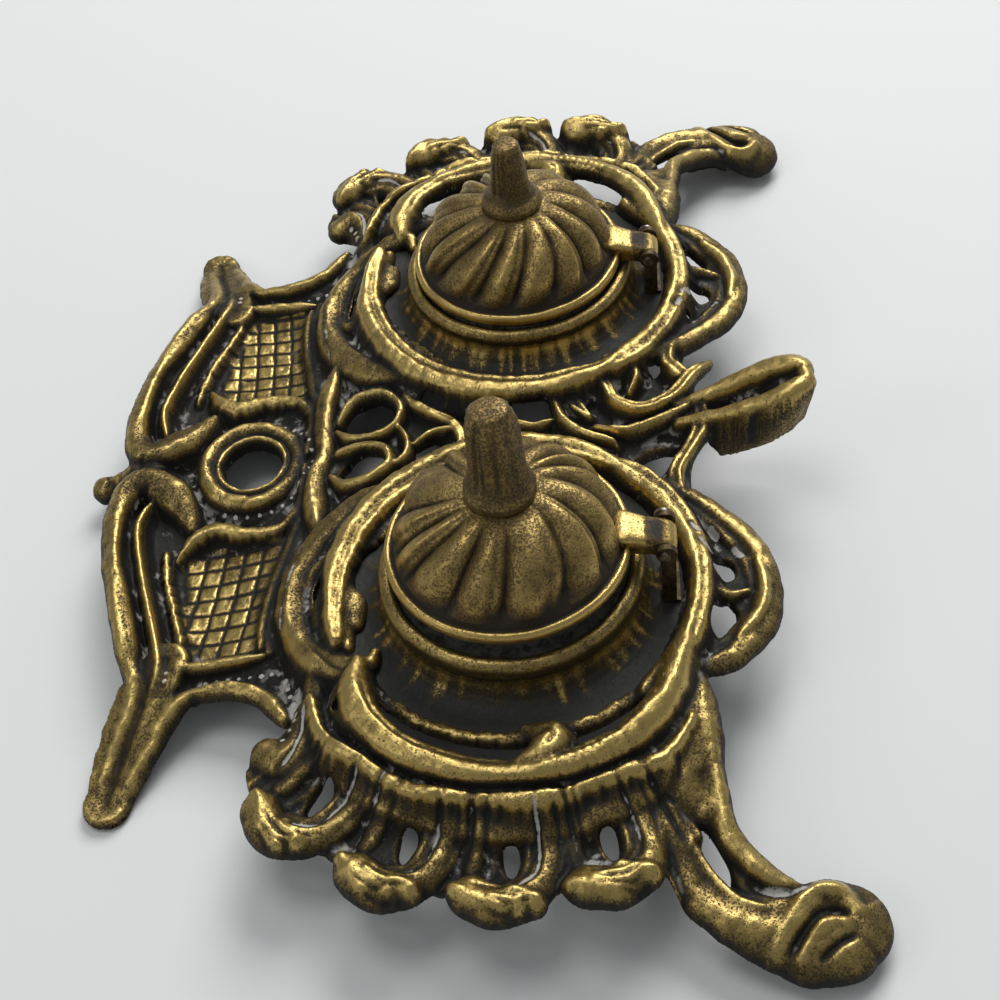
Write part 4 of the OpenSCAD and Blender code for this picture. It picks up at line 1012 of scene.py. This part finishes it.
def allFour(points):
    return points[:-1, :-1] & points[1:, :-1] & points[:-1, 1:] & points[1:, 1:]


def nineRound(field):
    return sum(np.roll(field, (j, i), (0, 1)) for j in (-1, 0, 1) for i in (-1, 0, 1))


# Cells that belong to the casting, and how its outline's points move onto the outline
castLayer["in"] = blurred(np.clip(castLayer["in"], -3, 3), 0.5) + 0.08
slopeY, slopeX = np.gradient(castLayer["in"], cast["cell"])
steep = np.maximum(slopeX ** 2 + slopeY ** 2, 0.15)
keptCell = allFour(castLayer["in"] > -0.5 * cast["cell"]) & ~allFour(castLayer["in"] < 0.45 * cast["cell"])
cellsRound = np.zeros(cellX.shape, int)
for rows in (slice(0, -1), slice(1, None)):
    for columns in (slice(0, -1), slice(1, None)):
        cellsRound[rows, columns] += keptCell
onOutline = (cellsRound > 0) & (cellsRound < 4)
shift = np.clip(-castLayer["in"] / steep, -0.9 * cast["cell"], 0.9 * cast["cell"]) * onOutline
moveX, moveY = shift * slopeX, shift * slopeY
moved = onOutline.astype(float)
for share in (0.9, 0.5):  # the next two rows of points follow the outline
    near = nineRound(moved)
    follow = [nineRound(move * moved) / np.maximum(near, 1) for move in (moveX, moveY)]
    moveX, moveY = (np.where(moved > 0, move, share * step) for move, step in zip((moveX, moveY), follow))
    moved = (near > 0).astype(float)
pointX = (cellX + moveX) * 0.001
pointY = (cellY + moveY + wells["y"]) * 0.001
edgeTop = np.clip(castLayer["top"], castLayer["low"], castLayer["low"] + 6)
pointTop = np.where(onOutline, (0.45 * edgeTop + 0.55 * castLayer["low"]), castLayer["top"]) * 0.001
pointLow = np.where(onOutline, pointTop, castLayer["low"] * 0.001)
fallY, fallX = np.gradient(pointTop, cast["cell"] * 0.001)
topNormal = np.stack([-fallX, -fallY, np.ones(fallX.shape)], 2)
topNormal /= np.linalg.norm(topNormal, axis=2, keepdims=True)


def cellOf(place, line):
    return np.clip(np.rint((place - line[0]) / cast["cell"]).astype(int), 0, len(line) - 1)


# A piece of the casting: a grid whose cells off the casting go, and its copy underneath, welded
# along the outline and closed at the cuts
def castPiece(name, xFrom, xTo, yFrom, yTo):
    i0, i1 = (int(cellOf(x, across)) for x in (xFrom, xTo))
    j0, j1 = (int(cellOf(y, deep)) for y in (yFrom, yTo))
    kept = keptCell[j0:j1, i0:i1]
    bm = bmesh.new()
    bmesh.ops.create_grid(bm, x_segments=i1 - i0, y_segments=j1 - j0, size=1)
    toCells = Matrix.Diagonal(((i1 - i0) / 2, (j1 - j0) / 2, 1, 1)) @ Matrix.Translation((1, 1, 0))
    bmesh.ops.transform(bm, matrix=toCells, verts=bm.verts)
    middles = [(face, face.calc_center_median()) for face in bm.faces]
    drop = [face for face, middle in middles if not kept[int(middle.y), int(middle.x)]]
    bmesh.ops.delete(bm, geom=drop, context="FACES")
    ridge, dip, paint, white = (bm.verts.layers.float.new(key) for key in ("ridge", "dip", "paint", "white"))
    spots = {v: (int(round(v.co.y)) + j0, int(round(v.co.x)) + i0) for v in bm.verts}
    twins = bmesh.ops.duplicate(bm, geom=bm.verts[:] + bm.edges[:] + bm.faces[:])["vert_map"]
    bmesh.ops.reverse_faces(bm, faces=[f for f in bm.faces if f.verts[0] not in spots])
    weld = []
    for v, spot in spots.items():
        v.co = (pointX[spot], pointY[spot], pointTop[spot])
        v[ridge], v[dip] = castRidge[spot], castDip[spot]
        v[paint], v[white] = castLayer["paint"][spot], castLayer["white"][spot]
        w = twins[v]
        w.co = (pointX[spot], pointY[spot], pointLow[spot])
        w[ridge], w[dip], w[paint] = castRidge[spot] * 0.3, 0.3, castLayer["paint"][spot] - 0.4
        if onOutline[spot]:
            weld += [v, w]
    bmesh.ops.remove_doubles(bm, verts=weld, dist=1e-7)
    for face in bm.faces:
        face.smooth = True
    filled = bmesh.ops.holes_fill(bm, edges=[e for e in bm.edges if e.is_boundary], sides=0)["faces"]
    for face in bmesh.ops.triangulate(bm, faces=filled)["faces"]:
        face.smooth = False
    mesh = meshFrom(bm, name)
    # along the cuts the points take the whole casting's normals, so no seam shows
    co, normals = np.empty((2, len(mesh.vertices), 3))
    mesh.vertices.foreach_get("co", co.ravel())
    mesh.vertices.foreach_get("normal", normals.ravel())
    i, j = cellOf(co[:, 0] * 1000, across), cellOf(co[:, 1] * 1000 - wells["y"], deep)
    onCut = (i == i0) | (i == i1) | (j == j0) | (j == j1)
    onCut &= (np.abs(co[:, 2] - pointTop[j, i]) < 1e-6) & ~onOutline[j, i]
    normals[onCut] = topNormal[j[onCut], i[onCut]]
    mesh.normals_split_custom_set_from_vertices(normals.tolist())
    piece = addObject(name, mesh)
    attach(piece, "stand_body")
    dress(piece, finishes["castBrass"])
    mesh.calc_loop_triangles()
    print(name, "triangles", len(mesh.loop_triangles))
    return piece


leftCut, middleCut, rightCut = cast["cuts"]
castPieces = [
    castPiece("leftFanAndLeg", -cast["reach"], leftCut, cast["frontCut"], cast["back"]),
    castPiece("leftMiddle", leftCut, middleCut, cast["frontCut"], cast["back"]),
    castPiece("rightMiddle", middleCut, rightCut, cast["frontCut"], cast["back"]),
    castPiece("rightFanAndLeg", rightCut, cast["reach"], cast["frontCut"], cast["back"]),
    castPiece("leftFront", -cast["reach"], middleCut, cast["front"], cast["frontCut"]),
    castPiece("rightFront", middleCut, cast["reach"], cast["front"], cast["frontCut"]),
]
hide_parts("stand")
print("casting built")

# Saucers with the collars that the liners stand in, spun round each well
saucer = {
    "around": 300,
    "step": 0.5,
    "outline": [
        (20.4, 15.4), (32.6, 15.4), (32.8, 18.9), (31.0, 18.75), (28.6, 18.4), (27.0, 18.5), (25.6, 19.2),
        (24.4, 20.6), (23.7, 22.2), (23.6, 23.2), (23.95, 24.0), (24.1, 24.8), (23.8, 25.6), (23.2, 26.15),
        (22.4, 26.3), (21.8, 26.1), (21.5, 25.0), (20.4, 24.6),
    ],
}


def spinOutline(outline, around, step, closed=True):
    points = list(outline) + ([outline[0]] if closed else [])
    dense = []
    for a, b in zip(points, points[1:]):
        n = max(1, int(round(math.dist(a, b) / step)))
        dense += [(a[0] + (b[0] - a[0]) * k / n, a[1] + (b[1] - a[1]) * k / n) for k in range(n)]
    if not closed:
        dense.append(points[-1])
    bm = bmesh.new()
    ring = [bm.verts.new((r * 0.001, 0, z * 0.001)) for r, z in dense]
    edges = [bm.edges.new(pair) for pair in zip(ring, ring[1:] + (ring[:1] if closed else []))]
    bmesh.ops.spin(bm, geom=ring + edges, cent=(0, 0, 0), axis=(0, 0, 1), steps=around, angle=math.tau,
                   use_merge=True, use_duplicate=False)
    bmesh.ops.remove_doubles(bm, verts=bm.verts, dist=1e-6)
    bmesh.ops.recalc_face_normals(bm, faces=bm.faces)
    return bm


def readTurned(v):
    return math.hypot(v.co.x, v.co.y) * 1000, math.atan2(v.co.y, v.co.x), v.co.z * 1000


def atWell(side, r, a, z):
    return toFrame(r * math.cos(a) + side * wells["x"], r * math.sin(a), z)


def angleGap(a, b):
    return abs((a - b + math.pi) % math.tau - math.pi)


def wobble(angle, seed, count=5, first=2):
    rng = np.random.default_rng(seed)
    size, phase = rng.uniform(0.4, 1, count), rng.uniform(0, 6.28, count)
    return sum(size[k] * math.sin((first + k) * angle + phase[k]) for k in range(count)) / count


def eased(value, low, high):
    t = min(max((value - low) / (high - low), 0), 1)
    return t * t * (3 - 2 * t)


def buildSaucer(name, side, seed, rise=0):
    outline = [(r, z + (rise if z > 24 else 0)) for r, z in saucer["outline"]]
    bm = spinOutline(outline, saucer["around"], saucer["step"])
    rng = np.random.default_rng(seed)
    # bright runs of worn metal that reach down the slope and out over the dark floor
    drips = []
    for a in np.cumsum(rng.uniform(0.03, 0.19, 58)):
        reach = rng.uniform(24.6, 28.5) if rng.random() < 0.6 else rng.uniform(27.5, 31)
        drips.append((a, reach, rng.uniform(0.014, 0.05), rng.uniform(0.4, 1)))
    for v in bm.verts:
        r, a, z = readTurned(v)
        a %= math.tau
        if 22.9 < r < 31.5 and 18 < z < 24.5:
            lift = 0
            for middle, reach, wide, strength in drips:
                d = angleGap(a, middle)
                if d < wide * 2.5:
                    lift = max(lift, strength * math.exp(-(d / wide) ** 2)
                        * (1 - eased(r, reach - 1.6, reach)))
            z += 0.4 * lift + 0.1 * wobble(a * 3, seed + 1, 9, 5)
            # turned rings on the slope below the collar
            rings = math.sin(14 * math.pi * (r - 23) / 8 + 2 * wobble(a, seed + 6, 5, 3))
            z += 0.14 * rings * eased(r, 23, 24.5) * (1 - eased(r, 26, 27.5))
        elif z > 24 and r > 21.4:
            r += 0.24 * wobble(a, seed + 2, 9, 5)
            z += 0.16 * wobble(a, seed + 3, 9, 7) if z > 25 else 0
        v.co = atWell(side, r, a, z)
    piece = finishPiece(bm, name)
    co, ridge, dip = relief(piece, 3, 40)
    r, z = np.hypot(co[:, 0] - side * wells["x"], co[:, 1]), co[:, 2]
    a = np.arctan2(co[:, 1], co[:, 0] - side * wells["x"]) % math.tau
    onFloor = (z > 17) & (z < 23.0)
    worn = np.zeros(len(co))
    for middle, reach, wide, strength in drips:
        fall = strength * np.exp(-(angleGap(a, middle) / (wide * 1.15)) ** 2)
        worn = np.maximum(worn, fall * np.clip((reach + 0.4 - r) / 2.2, 0, 1))
    slope = np.clip((26.6 - r) * 0.28, 0, 0.8) - np.clip((r - 26.5) * 0.5, 0, 0.7)
    paint = np.where(onFloor, 1.5 * worn + slope, 0) + np.where((z >= 23.0) & (r > 21.6), 0.95, 0)
    paint += 0.9 * np.clip((24.6 - r) / 1.2, 0, 1) * onFloor
    paintOn(piece, ridge=ridge, dip=dip, paint=paint, white=np.zeros(len(co)))
    dress(piece, finishes["saucerBrass"])


buildSaucer("leftSaucer", -1, 3)
buildSaucer("rightSaucer", 1, 8, 1.1)
print("saucers built")

# Melon lids: swirling lobes with worn crests over a dark band, a thin wavy lip, and a tab that
# runs back to the knuckle, given as its outline seen from the side and how it rounds off
lid = {
    "around": 420,
    "step": 0.42,
    "gadroons": 14,
    "groove": 2.3,
    "swirl": 20,
    "dome": 20.3,
    "foot": 2.6,
    "high": 12.5,
    "lean": 76.5,
    "seat": wells["lip"] + 0.3,
    "lip": [
        (18.4, 0.3), (20.6, 0.0), (21.5, 0.2), (21.95, 0.8), (22.1, 1.6), (21.95, 2.3), (21.55, 2.75),
        (21.1, 2.75), (20.7, 2.5), (20.4, 2.7), (20.35, 3.2),
    ],
    "inside": [(4.4, 14.2), (6.5, 12.0), (13.0, 9.1), (16.9, 4.6), (17.6, 1.2)],
    "tab": [
        (18.6, 1.2), (21.8, 0.6), (25.4, -0.4), (26.4, -1.0), (27.6, -1.3), (29.0, -0.9), (29.8, 0.2),
        (29.9, 1.3), (29.3, 2.3), (28.2, 2.9), (26.8, 3.2), (24.6, 3.7), (21.4, 5.0), (18.6, 5.6),
    ],
    "tabRounding": [
        (-1, 0.72), (-0.93, 0.88), (-0.78, 0.96), (-0.5, 0.99), (0, 1.0), (0.5, 0.99), (0.78, 0.96),
        (0.93, 0.88), (1, 0.72),
    ],
}


def domeRadius(up):
    return lid["dome"] * math.cos(math.radians(lid["lean"] * up)) ** 0.9


def lidOutline():
    dome = []
    for k in range(1, 40):
        t = k / 39
        dome.append((domeRadius(t), lid["foot"] + lid["high"] * math.sin(math.radians(90 * t)) ** 0.92))
    return lid["lip"] + dome + [(dome[-1][0] * 0.5, 15.2)] + lid["inside"]


def addTab(bm, side, seatZ):
    rings = []
    for x, grow in lid["tabRounding"]:
        ring = []
        for y, z in lid["tab"]:
            half = 3.1 + 0.9 * (1 - eased(y, 19, 24)) - 0.3 * eased(y, 26, 30)
            back = 25 + (y - 25) * (0.5 + 0.5 * grow if y > 25 else 1)
            spot = toFrame(side * wells["x"] + x * half, back, seatZ + 1.5 + (z - 1.5) * grow)
            ring.append(bm.verts.new(spot))
        rings.append(ring)
    for a, b in zip(rings, rings[1:]):
        for k in range(len(a)):
            after = (k + 1) % len(a)
            bm.faces.new((a[k], a[after], b[after], b[k]))
    bm.faces.new(rings[0][::-1])
    bm.faces.new(rings[-1])


def buildLid(name, body, side, lift, seed):
    bm = spinOutline(lidOutline(), lid["around"], lid["step"])
    rng = np.random.default_rng(seed)
    shares = np.cumsum(rng.uniform(0.7, 1.3, lid["gadroons"]))
    shares = np.concatenate([[0], shares / shares[-1] * math.tau])
    depths = rng.uniform(0.75, 1.2, lid["gadroons"])
    seatZ = lid["seat"] + lift
    for v in bm.verts:
        r, a, z = readTurned(v)
        t = min(max((z - lid["foot"]) / lid["high"], 0), 1)
        up = math.asin(min(1, t ** (1 / 0.92))) / (math.pi / 2)
        if z > lid["foot"] and domeRadius(up) - 1.1 < r < 20.5:
            swirl = math.radians(lid["swirl"]) * up + 0.14 * math.sin(2 * a + seed) * up
            spot = (a - (swirl + 0.05 * math.sin(5 * a + 2 * seed))) % math.tau
            k = int(np.searchsorted(shares, spot, side="right") - 1) % lid["gadroons"]
            s = (spot - shares[k]) / (shares[k + 1] - shares[k])
            wave = math.sin(math.pi * s) ** 0.75
            low = eased(up, 0.0, 0.16) * (1 - 0.9 * eased(up, 0.62, 1.0))
            drop = lid["groove"] * depths[k] * (1 - wave) * low
            # a second, shallow fold on some of the lobes
            drop += 0.4 * math.exp(-((s - 0.72) / 0.09) ** 2) * low * (depths[k] > 0.95)
            r -= drop * math.cos(math.radians(62 * up))
            z -= drop * 0.7 * math.sin(math.radians(70 * up)) + 0.18 * wobble(a, seed + 7, 7, 3) * up
        elif r > 20.9 and z < 2.9:
            z += 0.3 * wobble(a, seed, 12, 9) * (z > 1.4)
            r += 0.2 * wobble(a, seed + 1, 12, 7)
        v.co = atWell(side, r, a, z + seatZ)
    addTab(bm, side, seatZ)
    piece = finishPiece(bm, name, body)
    co, ridge, dip = relief(piece, 4, 60)
    x, z = co[:, 0] - side * wells["x"], co[:, 2] - seatZ
    r = np.hypot(x, co[:, 1])
    paint = 0.35 * np.clip(ridge * 2, -1, 1) + np.where((z > 1.7) & (z < 3.1) & (r > 20.85), 0.5, 0)
    paint -= 3.2 * ((co[:, 1] > 21.5) & (np.abs(x) < 5))
    band = 0.8 * np.exp(-((z - 4.2) / 1.1) ** 2) * (r > 16) * (r < 20.7)
    paint -= band + 0.9 * ((z < 3.4) & (r > 20) & (r < 20.8))
    paintOn(piece, ridge=ridge, dip=dip, paint=paint, white=np.zeros(len(co)))
    dress(piece, finishes["lidBrass"])
    return piece


leftLidShell = buildLid("leftLidShell", "left_lid_body", -1, 0, 2)
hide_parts("left_lid")
rightLidShell = buildLid("rightLidShell", "right_lid_body", 1, 4, 5)
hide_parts("right_lid")
print("lids built")

# Knops: the far one tapers and is faceted, the near one is stout with an arched face
finials = {
    "left": {
        "facets": 6, "deep": 0.42, "flute": 0.16,
        "outline": [
            (0.0, 8.4), (1.6, 8.4), (1.6, 14.75), (6.1, 14.8), (6.3, 15.5), (6.2, 16.5), (5.7, 17.2),
            (4.9, 17.7), (4.55, 18.3), (4.45, 19.6), (4.2, 22.5), (3.8, 25.6), (3.4, 27.8), (3.05, 29.1),
            (2.4, 29.9), (1.4, 30.2), (0.0, 30.3),
        ],
    },
    "right": {
        "facets": 5, "deep": 0.3, "flute": 0.34,
        "outline": [
            (0.0, 8.4), (1.6, 8.4), (1.6, 14.75), (6.1, 14.8), (6.35, 15.4), (6.35, 16.8), (6.0, 17.7),
            (5.55, 18.4), (5.3, 19.4), (5.2, 21), (5.05, 24), (4.95, 27), (4.85, 30), (4.65, 32.2),
            (4.1, 33.8), (3.0, 34.9), (1.6, 35.22), (0.0, 35.27),
        ],
    },
}
finialMesh = {"around": 132, "step": 0.34, "neck": 17.8, "grooves": 13}


def buildFinial(name, body, side, lift, look, seed):
    bm = spinOutline(look["outline"], finialMesh["around"], finialMesh["step"], closed=False)
    neck, top = finialMesh["neck"], look["outline"][-1][1]
    seatZ = lid["seat"] + lift
    rng = np.random.default_rng(seed)
    # where each groove runs, how wide and deep it is, and how it leans
    grooves = [tuple(rng.uniform(*limits) for limits in ((0, math.tau), (0.05, 0.12), (0.5, 1), (-0.3, 0.3)))
               for k in range(finialMesh["grooves"])]
    for v in bm.verts:
        r, a, z = readTurned(v)
        up = (z - neck) / (top - neck)
        if up > 0 and r > 1:
            amount = eased(up, 0.0, 0.16) * (1 - eased(up, 0.86, 1.0)) * min(1, r / 3)
            facet = math.tau / look["facets"]
            fromMiddle = ((a + 0.25 * seed) % facet) - facet / 2
            bend = look["deep"] * amount
            r += bend * (1 / max(math.cos(fromMiddle), 0.6) - 1) * 4 - bend
            for middle, wide, deep, lean in grooves:
                d = angleGap(a - middle, lean * up)
                r -= look["flute"] * deep * math.exp(-(d / wide) ** 2) * amount
            r += 0.1 * wobble(a + up * 2, seed, 5, 2) * amount
        elif z > 14.9 and r > 2:
            r += 0.12 * wobble(a, seed + 4, 6, 3)
        v.co = atWell(side, r, a, z + seatZ)
    piece = finishPiece(bm, name, body)
    co, ridge, dip = relief(piece, 4, 50)
    paintOn(piece, ridge=ridge, dip=dip, paint=np.zeros(len(co)), white=np.zeros(len(co)))
    dress(piece, finishes["finialBrass"])
    return piece


leftKnop = buildFinial("leftKnop", "left_lid_body", -1, 0, finials["left"], 4)
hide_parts("left_finial")
rightKnop = buildFinial("rightKnop", "right_lid_body", 1, 4, finials["right"], 9)
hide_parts("right_finial")
print("finials built")

# The nodes that stay as packed
keptFinishes = {
    "hinge_bracket": plainFinish("hingeBrass", (0.11, 0.078, 0.035), 0.8, 0.5),
    "hinge_pin": plainFinish("pinSteel", (0.36, 0.33, 0.29), 1.0, 0.35),
    "finial_nut": plainFinish("nutSteel", (0.42, 0.40, 0.36), 1.0, 0.35),
    "liner": plainFinish("linerGlass", (0.10, 0.10, 0.085), 0.0, 0.16),
}
for hand in ("left", "right"):
    for part, mat in keptFinishes.items():
        dress(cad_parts[hand + "_" + part], mat)
print("kept nodes dressed")
